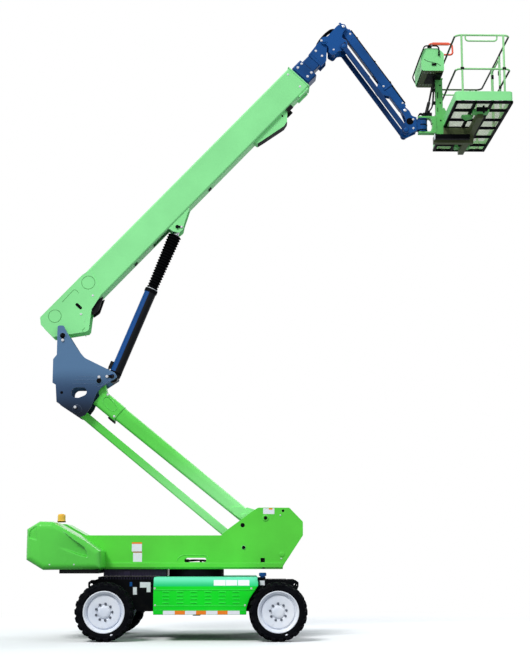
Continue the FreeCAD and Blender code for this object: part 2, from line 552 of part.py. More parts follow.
lower = turned(rounded_box(0, JIB_L, (LOWER_OUT - LOWER_IN) / 2, -41, 41, 10), JIB_LOW, JIB_TILT)
lower.translate(V(0, (LOWER_OUT + LOWER_IN) / 2, 0))
lower_ends = [bar((p[0], LOWER_IN, p[1]), (p[0], LOWER_OUT, p[1]), 52) for p in (JIB_LOW, JIB_END_LOW)]
low_pin = bar((JIB_LOW[0], JIB_Y - 6, JIB_LOW[1]), (JIB_LOW[0], LOWER_IN + 5, JIB_LOW[1]), 22)
end_pin = bar((JIB_END_LOW[0], 66, JIB_END_LOW[1]), (JIB_END_LOW[0], LOWER_IN + 5, JIB_END_LOW[1]), 22)
put("jib_lower_links", *both(lower.fuse([*lower_ends, low_pin, end_pin])))

JIB_RAM_LUG = polar(polar(JIB_TOP, RAM_HEAD[0], JIB_TILT), RAM_HEAD[1], JIB_TILT + 90)
barrel, rod = cylinder_parts(JIB_RAM_FOOT, JIB_RAM_LUG, 640, 55, 36, 24, 0, 34, 36)
put("jib_cylinder_barrel", barrel, cross(JIB_RAM_FOOT, JIB_Y + JIB_T + 6, JIB_RAM_PIN_R),
    cross(JIB_RAM_FOOT, JIB_Y - 5, JIB_RAM_PIN_R + 10))
put("jib_cylinder_rod", rod)

# ---- jib end bracket and platform rotator ----
END_Y, END_T = 75, 20
end_offsets = [(-55, 20, 30), (10, 55, 40), (75, -10, 40), (110, -90, 60), (185, -115), (185, -340),
               (120, -370, 40), (20, -420, 50), (-60, -375, 40), (-50, -260, 60), (20, -180, 60)]
end_plate = slab(about(JIB_END, end_offsets), END_Y, END_Y + END_T)
for point, radius in ((JIB_END, 25), (JIB_END_LOW, 22)):
    end_plate = end_plate.cut(cross(point, 200, radius + PIN_GAP))
TURN_LOW, TURN_HIGH = JIB_END[1] - 335, JIB_END[1] - 115
WEB_X = JIB_END[0] + 185
end_web = block((WEB_X - 55, -END_Y - END_T, TURN_LOW), (WEB_X, END_Y + END_T, TURN_HIGH))
put("jib_end_bracket", *both(end_plate), end_web)
put("platform_rotator", Part.makeCylinder(78, TURN_HIGH - TURN_LOW, V(TURN_X, 0, TURN_LOW)),
    block((WEB_X, -70, TURN_LOW + 25), (TURN_X, 70, TURN_HIGH - 25)))

# ---- platform ----
MAST_X, MAST_W = FLOOR_X - 125, 115
arm_low, arm_high = TURN_LOW - 31, TURN_HIGH + 6
yoke = [block((TURN_X - 70, -60, arm_high), (MAST_X + 2, 60, arm_high + 28)),
        block((TURN_X - 70, -60, arm_low), (MAST_X + 2, 60, arm_low + 25)),
        block((MAST_X - 60, -60, arm_low), (MAST_X + 2, 60, arm_high + 28))]
CONSOLE_LOW = 8925
POST_X, BEAM_LOW = MAST_X + MAST_W, 7945
put("platform_mast", *yoke, case((MAST_X, -48, BEAM_LOW), (POST_X, 48, CONSOLE_LOW), 6))
SPINE_X, SPINE_W = 5640, 95       # beam under the floor, along its length
put("platform_beams", case((POST_X, -48, BEAM_LOW), (SPINE_X, 48, FLOOR_Z), 6),
    case((SPINE_X, -850, 7970), (SPINE_X + SPINE_W, 1050, FLOOR_Z), 6),
    case((5085, 60, BEAM_LOW - 85), (SPINE_X, 160, BEAM_LOW + 25), 6),
    case((SPINE_X, 60, BEAM_LOW - 85), (SPINE_X + SPINE_W, 160, 7970), 6))

x0, x1, y1 = FLOOR_X, PLATFORM_FRONT, FLOOR_L / 2
TUBE, DECK_T = 40, 4
deck_z = FLOOR_Z + TUBE + DECK_T
across = [-y1, -850, -400, 0, 450, 890, y1 - TUBE]
frame = [block((x0, y, FLOOR_Z), (x1, y + TUBE, FLOOR_Z + TUBE)) for y in across]
for x in (x0, 5530, 5790, x1 - TUBE):
    frame.append(block((x, -y1, FLOOR_Z), (x + TUBE, y1, FLOOR_Z + TUBE)))
put("platform_floor", *frame, block((x0, -y1, FLOOR_Z + TUBE), (x1, y1, deck_z)))

TOE_TOP, TOE_T, CORNER_R = FLOOR_Z + 190, 4, 60
GATE_LOW, GATE_HIGH = -400, 250
toe_walls = []
for inset in (0, TOE_T):
    wall = block((x0 + inset, inset - y1, deck_z), (x1 - inset, y1 - inset, TOE_TOP))
    upright = [e for e in wall.Edges if abs(e.Vertexes[0].Z - e.Vertexes[1].Z) > 1]
    toe_walls.append(wall.makeFillet(CORNER_R - inset, upright))
gateway = block((x1 - 10, GATE_LOW + 22, deck_z - 1), (x1 + 5, GATE_HIGH - 22, TOE_TOP + 1))
put("platform_toe_boards", toe_walls[0].cut([toe_walls[1], gateway]))

RAIL_IN, BEND_R = 24, 90
left_x, right_x, end_y = x0 + RAIL_IN, x1 - RAIL_IN, y1 - RAIL_IN
top_z, mid_z, grab_z = FLOOR_Z + RAIL_H, FLOOR_Z + 560, FLOOR_Z + RAIL_H - 95
near_x, far_x = left_x + BEND_R + 5, right_x - BEND_R - 5
posts = [(x, y) for x in (near_x, far_x) for y in (-end_y, end_y)]
posts += [(right_x, GATE_LOW), (right_x, GATE_HIGH)]
rails = [bar((x, y, deck_z), (x, y, top_z), RAIL_R + 1.5) for x, y in posts]
loop = [(right_x, GATE_HIGH), (right_x, end_y), (left_x, end_y), (left_x, -end_y), (right_x, -end_y),
        (right_x, GATE_LOW)]
for z in (top_z, mid_z):
    rails.append(rail([(x, y, z) for x, y in loop], RAIL_R, BEND_R))
rails.append(bar((right_x, GATE_LOW, top_z), (right_x, GATE_HIGH, top_z), RAIL_R - 2))
for y in (-end_y, end_y):
    rails.append(rail([(near_x + 60, y, top_z), (near_x + 60, y, grab_z), (far_x - 100, y, grab_z),
                       (far_x - 100, y, top_z)], 12, 50))
put("platform_guard_rails", *rails)

hinge_y, free_y, gate_top = GATE_HIGH - 62, GATE_LOW + 40, top_z - 60
gate = rail([(right_x, hinge_y, gate_top), (right_x, free_y, gate_top), (right_x, free_y, deck_z + 60),
             (right_x, hinge_y, deck_z + 60)], 14, 60)
hinge = bar((right_x, hinge_y, deck_z + 30), (right_x, hinge_y, gate_top + 30), 16)
put("platform_gate", gate, hinge, bar((right_x, hinge_y, mid_z), (right_x, free_y, mid_z), 12))

CONSOLE_Y = 380
console_points = [(4850, CONSOLE_LOW, 40), (4835, 9230, 70), (4905, 9305, 60), (5120, 9305, 60),
                  (5212, 9220, 50), (5212, CONSOLE_LOW, 20)]
console = slab(console_points, -CONSOLE_Y, CONSOLE_Y)
console_room = slab(shrunk(console_points, 5, (5020, 9100)), 5 - CONSOLE_Y, CONSOLE_Y - 5)
put("control_console", console.cut(console_room))
GUARD_Y = CONSOLE_Y + 25
put("console_guard",
    rail([(5130, -GUARD_Y, 9190), (5130, -GUARD_Y, 9335), (4900, -GUARD_Y, 9335), (4805, -GUARD_Y, 9100),
          (4805, GUARD_Y, 9100), (4880, GUARD_Y, 8950), (5130, GUARD_Y, 8950)], 11, 50),
    block((5115, -GUARD_Y, 9180), (5145, -CONSOLE_Y, 9200)),
    block((5100, CONSOLE_Y, 8935), (5130, GUARD_Y, 8965)))
HOOP_Y, HOOP_Z, HOOP_R = 300, 9412, 15
hoop = rail([(4985, -HOOP_Y, 9306), (4985, -HOOP_Y, HOOP_Z), (5362, -HOOP_Y, HOOP_Z), (5372, -HOOP_Y, 9228),
             (5229, -HOOP_Y, 9228)], HOOP_R, 45)
put("anti_crush_bar", hoop)

# ---- export ----
os.makedirs("parts", exist_ok=True)
for node, shape in made.items():
    shape.translate(V(-ORIGIN_X, 0, 0))
    shape.exportStep("parts/" + node + ".step")
    print(node, len(shape.Solids), shape.isValid(), round(shape.Volume / 1e9, 5))
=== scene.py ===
import json
from math import cos, hypot, pi, radians, sin

import bmesh
import bpy
from mathutils import Matrix, Vector


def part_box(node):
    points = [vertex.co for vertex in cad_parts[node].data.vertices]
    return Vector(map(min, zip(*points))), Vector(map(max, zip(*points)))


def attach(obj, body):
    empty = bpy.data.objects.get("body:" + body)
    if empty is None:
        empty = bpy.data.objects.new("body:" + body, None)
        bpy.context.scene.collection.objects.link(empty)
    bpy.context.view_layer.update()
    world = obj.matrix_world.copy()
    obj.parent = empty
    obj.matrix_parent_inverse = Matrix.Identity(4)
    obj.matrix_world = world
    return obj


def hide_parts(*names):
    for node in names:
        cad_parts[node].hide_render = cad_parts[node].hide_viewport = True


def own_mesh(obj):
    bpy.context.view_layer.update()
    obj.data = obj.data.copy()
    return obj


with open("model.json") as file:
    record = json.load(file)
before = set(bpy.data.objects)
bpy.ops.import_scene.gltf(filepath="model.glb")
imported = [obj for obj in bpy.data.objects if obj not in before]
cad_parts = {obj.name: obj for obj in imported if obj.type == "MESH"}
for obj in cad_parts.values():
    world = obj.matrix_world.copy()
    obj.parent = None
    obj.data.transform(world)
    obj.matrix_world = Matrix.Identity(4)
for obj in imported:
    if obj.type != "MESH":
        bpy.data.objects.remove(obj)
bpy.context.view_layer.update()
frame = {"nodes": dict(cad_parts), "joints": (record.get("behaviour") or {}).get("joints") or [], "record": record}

joints = {joint["name"]: joint for joint in frame["joints"]}
record = frame["record"]

# ---- camera ----
# The lift is seen square on to its right-hand side, from eye height some eighteen metres off, looking
# slightly upwards. It leaves no free cord or hose: every hose is clipped along the body that it rides on.
lens = bpy.data.cameras.new("camera")
lens.lens, lens.sensor_width = 69.84, 36
camera = bpy.data.objects.new("camera", lens)
camera.location = (-0.5125, -20.2, 1.21)
camera.rotation_euler = (radians(99.73), 0, radians(-1.02))
bpy.context.collection.objects.link(camera)
bpy.context.scene.camera = camera
bpy.context.scene.view_settings.view_transform = "Standard"

# ---- studio light and floor ----
# A pale floor under a white sky. Broad soft suns stand in for the light tents of a studio: the key from
# the upper left, a weak fill from the right, and a faint one from behind.
world = bpy.data.worlds.new("studio")
bpy.context.scene.world = world
world.use_nodes = True
sky, shown = world.node_tree.nodes["Background"], world.node_tree.nodes.new("ShaderNodeBackground")
sky.inputs["Color"].default_value = (0.86, 0.93, 1.0, 1)
sky.inputs["Strength"].default_value = 0.5
shown.inputs["Color"].default_value = (1, 1, 1, 1)
ray, either, blend = [world.node_tree.nodes.new("ShaderNode" + kind)
                      for kind in ("LightPath", "Math", "MixShader")]
either.operation = "MAXIMUM"
most = world.node_tree.nodes.new("ShaderNodeMath")
most.operation = "MAXIMUM"
link = world.node_tree.links.new
link(ray.outputs["Is Camera Ray"], either.inputs[0])
link(ray.outputs["Is Glossy Ray"], either.inputs[1])
link(either.outputs[0], most.inputs[0])
link(ray.outputs["Is Transmission Ray"], most.inputs[1])
link(most.outputs[0], blend.inputs[0])
link(sky.outputs[0], blend.inputs[1])
link(shown.outputs[0], blend.inputs[2])
link(blend.outputs[0], world.node_tree.nodes["World Output"].inputs[0])
for name, toward, strength, spread in (("key_light", (-0.45, -0.75, 0.9), 2.2, 20),
                                       ("fill_light", (0.8, -0.6, 0.5), 0.35, 40),
                                       ("back_light", (0.5, 0.8, 0.7), 0.7, 30)):
    sun = bpy.data.lights.new(name, "SUN")
    sun.energy, sun.angle = strength, radians(spread)
    lamp = bpy.data.objects.new(name, sun)
    lamp.rotation_euler = Vector(toward).to_track_quat("Z", "Y").to_euler()
    bpy.context.collection.objects.link(lamp)


class Value:
    """A number or colour that varies over a surface. Operators on it add Math nodes."""

    def __init__(self, paint, socket):
        self.paint, self.socket = paint, socket

    def math(self, operation, *others, first=None, clamp=False):
        values = [self if first is None else first, *others]
        return self.paint.node("Math", {"operation": operation, "use_clamp": clamp}, dict(enumerate(values)))

    def __add__(self, other): return self.math("ADD", other)
    def __sub__(self, other): return self.math("SUBTRACT", other)
    def __mul__(self, other): return self.math("MULTIPLY", other)
    def __rsub__(self, other): return self.math("SUBTRACT", self, first=other)
    def __gt__(self, other): return self.math("GREATER_THAN", other)
    def __lt__(self, other): return self.math("LESS_THAN", other)
    __radd__, __rmul__ = __add__, __mul__

    def spread(self, low, high, out_low=0.0, out_high=1.0):
        """Stretches low to high over the new range, and clamps it there, with soft ends."""
        settings = {"interpolation_type": "SMOOTHSTEP"}
        return self.paint.node("MapRange", settings, dict(enumerate((self, low, high, out_low, out_high))))


class Paint:
    """One finish: a Principled shader whose colour, roughness and relief are made of node expressions."""

    def __init__(self, name, roughness=0.4, metallic=0.0, specular=0.5, coat=0.0):
        self.material = bpy.data.materials.new(name)
        self.material.use_nodes = True
        self.tree = self.material.node_tree
        self.shader = self.tree.nodes["Principled BSDF"]
        for socket, value in (("Roughness", roughness), ("Metallic", metallic), ("Coat Weight", coat),
                              ("Specular IOR Level", specular), ("Coat Roughness", 0.12)):
            self.shader.inputs[socket].default_value = value
        self.place = self.node("TexCoord", output="Object")
        self.east, self.side, self.up = [self.node("SeparateXYZ", inputs={0: self.place}, output=axis)
                                         for axis in "XYZ"]

    def node(self, kind, settings=None, inputs=None, output=0):
        made = self.tree.nodes.new("ShaderNode" + kind)
        for key, value in (settings or {}).items():
            setattr(made, key, value)
        for key, value in (inputs or {}).items():
            self.feed(made.inputs[key], value)
        return Value(self, made.outputs[output])

    def feed(self, socket, value):
        if isinstance(value, Value):
            self.tree.links.new(value.socket, socket)
        else:
            socket.default_value = value

    def mix(self, factor, first, second, blend="MIX"):
        settings = {"data_type": "RGBA", "blend_type": blend, "clamp_factor": True}
        return self.node("Mix", settings, {0: factor, 6: first, 7: second}, output=2)

    def noise(self, scale, detail=3.0, stretch=(1, 1, 1)):
        where = self.node("Mapping", inputs={"Vector": self.place, "Scale": stretch})
        return self.node("TexNoise", inputs={"Vector": where, "Scale": scale, "Detail": detail})

    def edges(self, radius):
        """How near a point is to an edge, from 0 on the flat to 1 on the edge itself."""
        soft = self.node("Bevel", {"samples": 4}, {"Radius": radius})
        hard = self.node("NewGeometry", output="True Normal")
        facing = self.node("VectorMath", {"operation": "DOT_PRODUCT"}, {0: soft, 1: hard}, output="Value")
        return (1 - facing).spread(0.01, 0.22)

    def coloured(self):
        """The colour that the finish has so far, to be mixed with another."""
        return Value(self, self.shader.inputs["Base Color"].links[0].from_socket)

    def finish(self, colour, roughness=None, relief=None, depth=0.001):
        self.feed(self.shader.inputs["Base Color"], colour)
        if roughness is not None:
            self.feed(self.shader.inputs["Roughness"], roughness)
        if relief is not None:
            bump = self.node("Bump", inputs={"Height": relief, "Distance": depth, "Strength": 1.0})
            self.feed(self.shader.inputs["Normal"], bump)
        return self


def shade(red, green, blue, factor=1.0):
    """An sRGB colour, 0 to 255, as the linear one that sockets take."""
    return (*[factor * (v / 255 / 12.92 if v < 10.3 else ((v / 255 + 0.055) / 1.055) ** 2.4)
              for v in (red, green, blue)], 1)


floor = bpy.data.objects.new("floor", bpy.data.meshes.new("floor"))
sheet = bmesh.new()
bmesh.ops.create_grid(sheet, x_segments=1, y_segments=1, size=60)
sheet.to_mesh(floor.data)
bpy.context.collection.objects.link(floor)
ground = Paint("pale_floor", roughness=0.9, specular=0.0)
far = ground.node("VectorMath", {"operation": "LENGTH"}, {0: ground.place}, output="Value").spread(5, 9)
seen = ground.node("LightPath", output="Is Camera Ray")
pale = ground.mix(ground.noise(3.0), shade(246, 247, 248), shade(250, 250, 251))
ground.finish(ground.mix(seen, shade(150, 152, 155), pale))
white = ground.node("Emission", inputs={"Color": (1, 1, 1, 1)})
blend = ground.node("MixShader", inputs={0: far * seen, 1: Value(ground, ground.shader.outputs[0]), 2: white})
ground.tree.links.new(blend.socket, ground.tree.nodes["Material Output"].inputs[0])
floor.data.materials.append(ground.material)

# ---- chassis frame, axles and steering ----
# A welded box frame in satin black, with a fixed axle under one end and a steered one under the other.
# Each CAD piece gets its round edges here: its triangles are merged and its corners are eased.
axle_x = joints["steer_left"]["pos_m"][0]
from_axle = Matrix.Translation((axle_x, 0, 0))
body_of = {node: body for body, nodes in record["behaviour"]["bodies"].items() for node in nodes}
slot_of = {row["node"]: row["material_slot"] for row in record["subparts"]}


def piece(name, parts, paint, body, slot, place=None, mirrored=False, stands_for=(), angle=35):
    """Joins closed shapes into one finished piece that rides on a body."""
    whole = bmesh.new()
    for part in parts:
        for mirror in ((1, -1) if mirrored else (1,)):
            mesh = bpy.data.meshes.new(name)
            bmesh.ops.scale(part, vec=(1, mirror, 1), verts=part.verts)
            part.to_mesh(mesh)
            whole.from_mesh(mesh)
            bpy.data.meshes.remove(mesh)
        part.free()
    if place:
        bmesh.ops.transform(whole, matrix=place, verts=whole.verts)
    bmesh.ops.recalc_face_normals(whole, faces=whole.faces)
    mesh = bpy.data.meshes.new(name)
    whole.to_mesh(mesh)
    whole.free()
    mesh.shade_smooth()
    mesh.set_sharp_from_angle(angle=radians(angle))
    made = bpy.data.objects.new(name, mesh)
    bpy.context.collection.objects.link(made)
    mesh.materials.append(paint.material)
    made.modifiers.new("flat_faces", "WEIGHTED_NORMAL").keep_sharp = True
    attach(made, body)
    if stands_for:
        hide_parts(*stands_for)
    return made


def eased(node, paint, edge=0.0):
    """A CAD node with its triangles merged, its flat faces whole and its edges rounded."""
    solid = bmesh.new()
    solid.from_mesh(frame["nodes"][node].data)
    bmesh.ops.remove_doubles(solid, verts=solid.verts, dist=2e-5)
    bmesh.ops.dissolve_limit(solid, angle_limit=radians(0.5), verts=solid.verts, edges=solid.edges)
    made = piece(node + "_finished", [solid], paint, body_of[node], slot_of[node], stands_for=[node])
    if edge:
        bevel = made.modifiers.new("round_edges", "BEVEL")
        bevel.width, bevel.segments, bevel.angle_limit = edge, 2, radians(40)
        bevel.harden_normals = True
        made.modifiers.move(1, 0)
    return made


def enamel(name, colour, low=0.9, high=1.06, roughness=0.34, specular=0.2, coat=0.0, edge=None, grime=0.25):
    """Sprayed paint: slow tone drifts, fine orange peel, edges paled by wear and painted highlight, road dust low.
    """
    paint = Paint(name, roughness, specular=specular, coat=coat)
    drift = paint.noise(1.3, 4).spread(0.3, 0.7)
    base = paint.mix(drift, shade(*colour, low), shade(*colour, high))
    # The edges are mixed paler: part wear, part painted highlight.
    base = paint.mix(paint.edges(0.006) * 0.6, base, edge or shade(*colour, 1.35))
    dust = paint.up.spread(1.1, 0.15) * paint.noise(7, 6).spread(0.35, 0.75) * grime
    base = paint.mix(dust, base, shade(120, 112, 100))
    peel = paint.noise(420, 2)
    return paint.finish(base, roughness + drift * 0.1 + dust * 0.4, peel, 0.0002)


def plain(name, tones, grain, worn=None, bumps=None, depth=0.0001, **finish):
    """A finish that drifts between two close tones. grain, worn and bumps are its noises' scale and detail,
    and worn goes on with the two ends of the roughness."""
    paint = Paint(name, **finish)
    tone = paint.mix(paint.noise(*grain), *[shade(*tone) for tone in tones])
    rough = paint.noise(*worn[:2]).spread(0.3, 0.7, *worn[2:]) if worn else None
    return paint.finish(tone, rough, paint.noise(*bumps) if bumps else None, depth)


frame_black = enamel("satin_black", (6, 7, 11), roughness=0.45, specular=0.05, edge=shade(40, 42, 48), grime=0.03)
for node in ("chassis_frame", "axle_fixed", "axle_steered", "steering_knuckle_left", "steering_knuckle_right"):
    eased(node, frame_black, 0.004)
eased("steering_cylinder", frame_black, 0.002)
chrome = Paint("hard_chrome", roughness=0.16, metallic=1.0)
chrome.finish(chrome.mix(chrome.noise(90, 2, (1, 1, 6)), shade(205, 208, 214), shade(226, 228, 232)),
              chrome.noise(160, 3).spread(0.3, 0.8, 0.1, 0.26))
eased("steering_rod", chrome)


def slab(outline, low_y, high_y, edge=0.0, holes=(), steps=2):
    """An XZ outline made solid between two Y planes. A corner's third number rounds it off by that much.
    A hole is (x, z, radius)."""
    bm = bmesh.new()
    corners = [(bm.verts.new((x, low_y, z)), cut) for x, z, *cut in outline]
    bm.faces.new([corner for corner, cut in corners])
    for corner, cut in corners:
        if cut:
            bmesh.ops.bevel(bm, geom=[corner], offset=cut[0], segments=4, profile=0.5, affect="VERTICES",
                            material=-1)
    if holes:
        bmesh.ops.delete(bm, geom=bm.faces[:], context="FACES_ONLY")
        for x, z, radius in holes:
            place = Matrix.Translation((x, low_y, z)) @ Matrix.Rotation(pi / 2, 4, "X")
            bmesh.ops.create_circle(bm, segments=24, radius=radius, matrix=place)
        bmesh.ops.triangle_fill(bm, use_beauty=True, edges=bm.edges[:])
    moved = bmesh.ops.extrude_face_region(bm, geom=bm.faces[:])["geom"]
    bmesh.ops.translate(bm, vec=(0, high_y - low_y, 0),
                        verts=[v for v in moved if isinstance(v, bmesh.types.BMVert)])
    bmesh.ops.recalc_face_normals(bm, faces=bm.faces)
    return eased_edges(bm, edge, steps)


def eased_edges(bm, edge, steps=2):
    """Rounds every sharp edge of a shape."""
    if edge:
        sharp = [e for e in bm.edges if e.is_manifold and e.calc_face_angle(0) > radians(40)]
        bmesh.ops.bevel(bm, geom=sharp, offset=edge, segments=steps, profile=0.5, affect="EDGES",
                        clamp_overlap=True, material=-1)
    return bm


def box(low, high, edge=0.0, steps=2):
    bm = bmesh.new()
    bmesh.ops.create_cube(bm, size=1)
    bmesh.ops.scale(bm, vec=[b - a for a, b in zip(low, high)], verts=bm.verts)
    bmesh.ops.translate(bm, vec=[(a + b) / 2 for a, b in zip(low, high)], verts=bm.verts)
    return eased_edges(bm, edge, steps)


def rod(start, end, radius, steps=16, edge=0.0, tip=None):
    """A round or many-sided bar between two points, tapered where tip is given."""
    start, end = Vector(start), Vector(end)
    bm = bmesh.new()
    bmesh.ops.create_cone(bm, cap_ends=True, segments=steps, radius1=radius,
                          radius2=radius if tip is None else tip, depth=(end - start).length)
    turn = (end - start).to_track_quat("Z", "Y").to_matrix().to_4x4()
    bmesh.ops.transform(bm, matrix=Matrix.Translation((start + end) / 2) @ turn, verts=bm.verts)
    if edge:
        rims = [e for e in bm.edges if e.calc_face_angle(0) > radians(60)]
        bmesh.ops.bevel(bm, geom=rims, offset=edge, segments=2, profile=0.5, affect="EDGES", material=-1)
    return bm


def lathe(profile, centre, toward=(0, 1, 0), steps=48):
    """A closed (radius, along) profile spun about an axis through centre."""
    bm = bmesh.new()
    ring = [bm.verts.new((r, a, 0)) for r, a in profile]
    closed = ring if min(profile[0][0], profile[-1][0]) > 1e-6 else ring[:-1]
    edges = [bm.edges.new((v, ring[(i + 1) % len(ring)])) for i, v in enumerate(closed)]
    bmesh.ops.spin(bm, geom=ring + edges, cent=(0, 0, 0), axis=(0, 1, 0), angle=2 * pi, steps=steps, use_merge=True)
    bmesh.ops.remove_doubles(bm, verts=bm.verts, dist=1e-5)
    bmesh.ops.recalc_face_normals(bm, faces=bm.faces)
    turn = Vector((0, 1, 0)).rotation_difference(Vector(toward)).to_matrix().to_4x4()
    bmesh.ops.transform(bm, matrix=Matrix.Translation(centre) @ turn, verts=bm.verts)
    return bm


def bolts(points, toward, radius=0.012, head=None):
    """Hexagon bolt heads on washers, standing on these points."""
    heads, toward = [], Vector(toward).normalized()
    for point in points:
        foot = Vector(point)
        height = radius * 0.75 if head is None else head
        heads.append(rod(foot, foot + toward * height * 0.3, radius * 1.5, steps=12))
        heads.append(rod(foot + toward * height * 0.3, foot + toward * height, radius, steps=6, tip=radius * 0.9))
    return heads


# Chassis fittings: blank plates on the frame's side, a blue filler cap at the cover's end, and cover plates on
# its ends with their bolts.
deck_z, frame_y = 0.865, 0.42
label_white = plain("blank_label", ((226, 228, 238), (244, 245, 248)), (30, 4), bumps=(300,), roughness=0.45)
blue_enamel = enamel("arm_blue", (4, 74, 140), 0.66, 1.14, edge=shade(40, 108, 178), grime=0.0)
plates = [(0.348, 0.644, 0.405, 0.754), (0.451, 0.747, 0.609, 0.827), (0.552, 0.681, 0.610, 0.749)]
on_frame = ("chassis", "black_frame", from_axle)
piece("frame_plates", [box((x0, -frame_y - 0.003, z0), (x1, -frame_y, z1), 0.001)
                       for x0, z0, x1, z1 in plates], label_white, *on_frame)
cap_x, cap_y, cap_z = 2.276, -1.112, 0.919
filler = [lathe([(0, 0.057), (0.04, 0.057), (0.054, 0.05), (0.054, 0.012), (0.048, 0.008), (0.036, 0.006),
                 (0.036, -0.012), (0, -0.012)], (cap_x, cap_y, cap_z), (0, 0, 1), 24),
          box((0.297, -frame_y - 0.004, 0.766), (0.335, -frame_y, 0.828), 0.002)]
piece("filler_cap", filler, blue_enamel, *on_frame)
piece("filler_bracket", [box((2.200, cap_y - 0.036, cap_z - 0.052), (2.318, cap_y + 0.07, cap_z - 0.008),
                             0.004)], frame_black, *on_frame)
piece("filler_label", [box((2.245, -frame_y - 0.003, 0.781), (2.318, -frame_y, 0.85), 0.001)], label_white,
      *on_frame)
steel = plain("zinc_plate", ((196, 199, 205), (226, 228, 232)), (60, 3), (40, 3, 0.25, 0.42), (500,),
              roughness=0.3, metallic=0.75)
ends, end_bolts = [], []
for x, way in ((-0.205, -1), (2.70, 1)):
    face_x = x + way * 0.008
    ends.append(box((min(x, face_x), -0.24, 0.655), (max(x, face_x), 0.24, 0.765), 0.003))
    end_bolts += bolts([(face_x, y, z) for y in (-0.21, 0, 0.21) for z in (0.675, 0.745)], (way, 0, 0))
piece("frame_end_plates", ends, frame_black, *on_frame)
piece("frame_end_bolts", end_bolts, steel, *on_frame)

# ---- wheels ----
# Solid rubber tyres moulded with staggered lugs that wrap over both shoulders, on pressed steel discs
# sprayed silver-white. Nine nuts hold each disc to its hub, round a shallow middle well.
tyre_r, half_width = 0.42, 0.1525
carcass = [(0.290, 0.035), (0.300, 0.018), (0.318, 0.010), (0.335, 0.006), (0.352, 0.011), (0.372, 0.010),
           (0.388, 0.020), (0.397, 0.045), (0.400, half_width)]
disc = [(0, 0.055), (0.058, 0.055), (0.066, 0.058), (0.084, 0.064), (0.094, 0.079), (0.104, 0.081), (0.112, 0.073),
        (0.120, 0.069), (0.205, 0.060), (0.226, 0.062), (0.234, 0.068), (0.240, 0.084), (0.246, 0.088),
        (0.251, 0.070), (0.256, 0.056), (0.264, 0.048), (0.271, 0.036), (0.276, 0.022), (0.281, 0.015),
        (0.288, 0.011), (0.297, 0.013), (0.300, 0.020), (0.300, 0.032), (0.290, 0.036), (0.290, 0.269),
        (0.300, 0.273), (0.300, 0.290), (0.294, 0.293), (0.282, 0.28), (0.276, 0.25), (0.268, 0.14), (0.240, 0.106),
        (0.205, 0.088), (0, 0.096)]
LUGS = 22

rubber = Paint("tyre_rubber", roughness=0.78, specular=0.04)
# The lug edges are lightened: part wear, part painted highlight.
worn = rubber.edges(0.008)
black = rubber.mix(rubber.noise(6, 5).spread(0.3, 0.7), shade(4, 5, 9), shade(11, 12, 17))
black = rubber.mix(worn * 0.3, black, shade(54, 56, 62))
dusty = rubber.noise(14, 6).spread(0.45, 0.8)
black = rubber.mix(dusty * 0.04, black, shade(104, 99, 90))
rubber.finish(black, 0.7 + dusty * 0.2, rubber.noise(130, 4), 0.0006)

rim_paint = Paint("rim_silver", roughness=0.3, specular=0.5, coat=0.3)
turned = rim_paint.noise(2.2, 3).spread(0.3, 0.7)
silver = rim_paint.mix(turned, shade(216, 223, 236), shade(238, 241, 247))
# Its edges are mixed near white: a painted highlight.
silver = rim_paint.mix(rim_paint.edges(0.005) * 0.5, silver, shade(250, 251, 253))
smear = rim_paint.noise(11, 6).spread(0.55, 0.85)
silver = rim_paint.mix(smear * 0.3, silver, shade(150, 152, 158))
rim_paint.finish(silver, 0.26 + smear * 0.35, rim_paint.noise(300), 0.0002)
nut_grey = enamel("nut_grey", (92, 98, 112), 0.8, 1.15, roughness=0.4, edge=shade(160, 166, 176), grime=0.1)


def lug(side, turn):
    """One tread bar: a block across half the tread, slanted, and bent down over the shoulder."""
    bm = bmesh.new()
    section = [(-0.004, 0.396), (-0.004, 0.4185), (0.05, tyre_r), (0.118, tyre_r), (0.139, 0.414), (0.1505, 0.400),
               (0.1525, 0.371), (0.140, 0.368), (0.135, 0.385)]
    bm.faces.new([bm.verts.new((-0.026, side * y, r)) for y, r in section])
    moved = bmesh.ops.extrude_face_region(bm, geom=bm.faces[:])["geom"]
    bmesh.ops.translate(bm, vec=(0.052, 0, 0), verts=[v for v in moved if isinstance(v, bmesh.types.BMVert)])
    for v in bm.verts:
        v.co.x = v.co.x * (0.72 + 2.2 * abs(v.co.y)) + abs(v.co.y) * 0.34 - 0.03
    bmesh.ops.rotate(bm, matrix=Matrix.Rotation(turn, 3, "Y"), verts=bm.verts)
    return bm


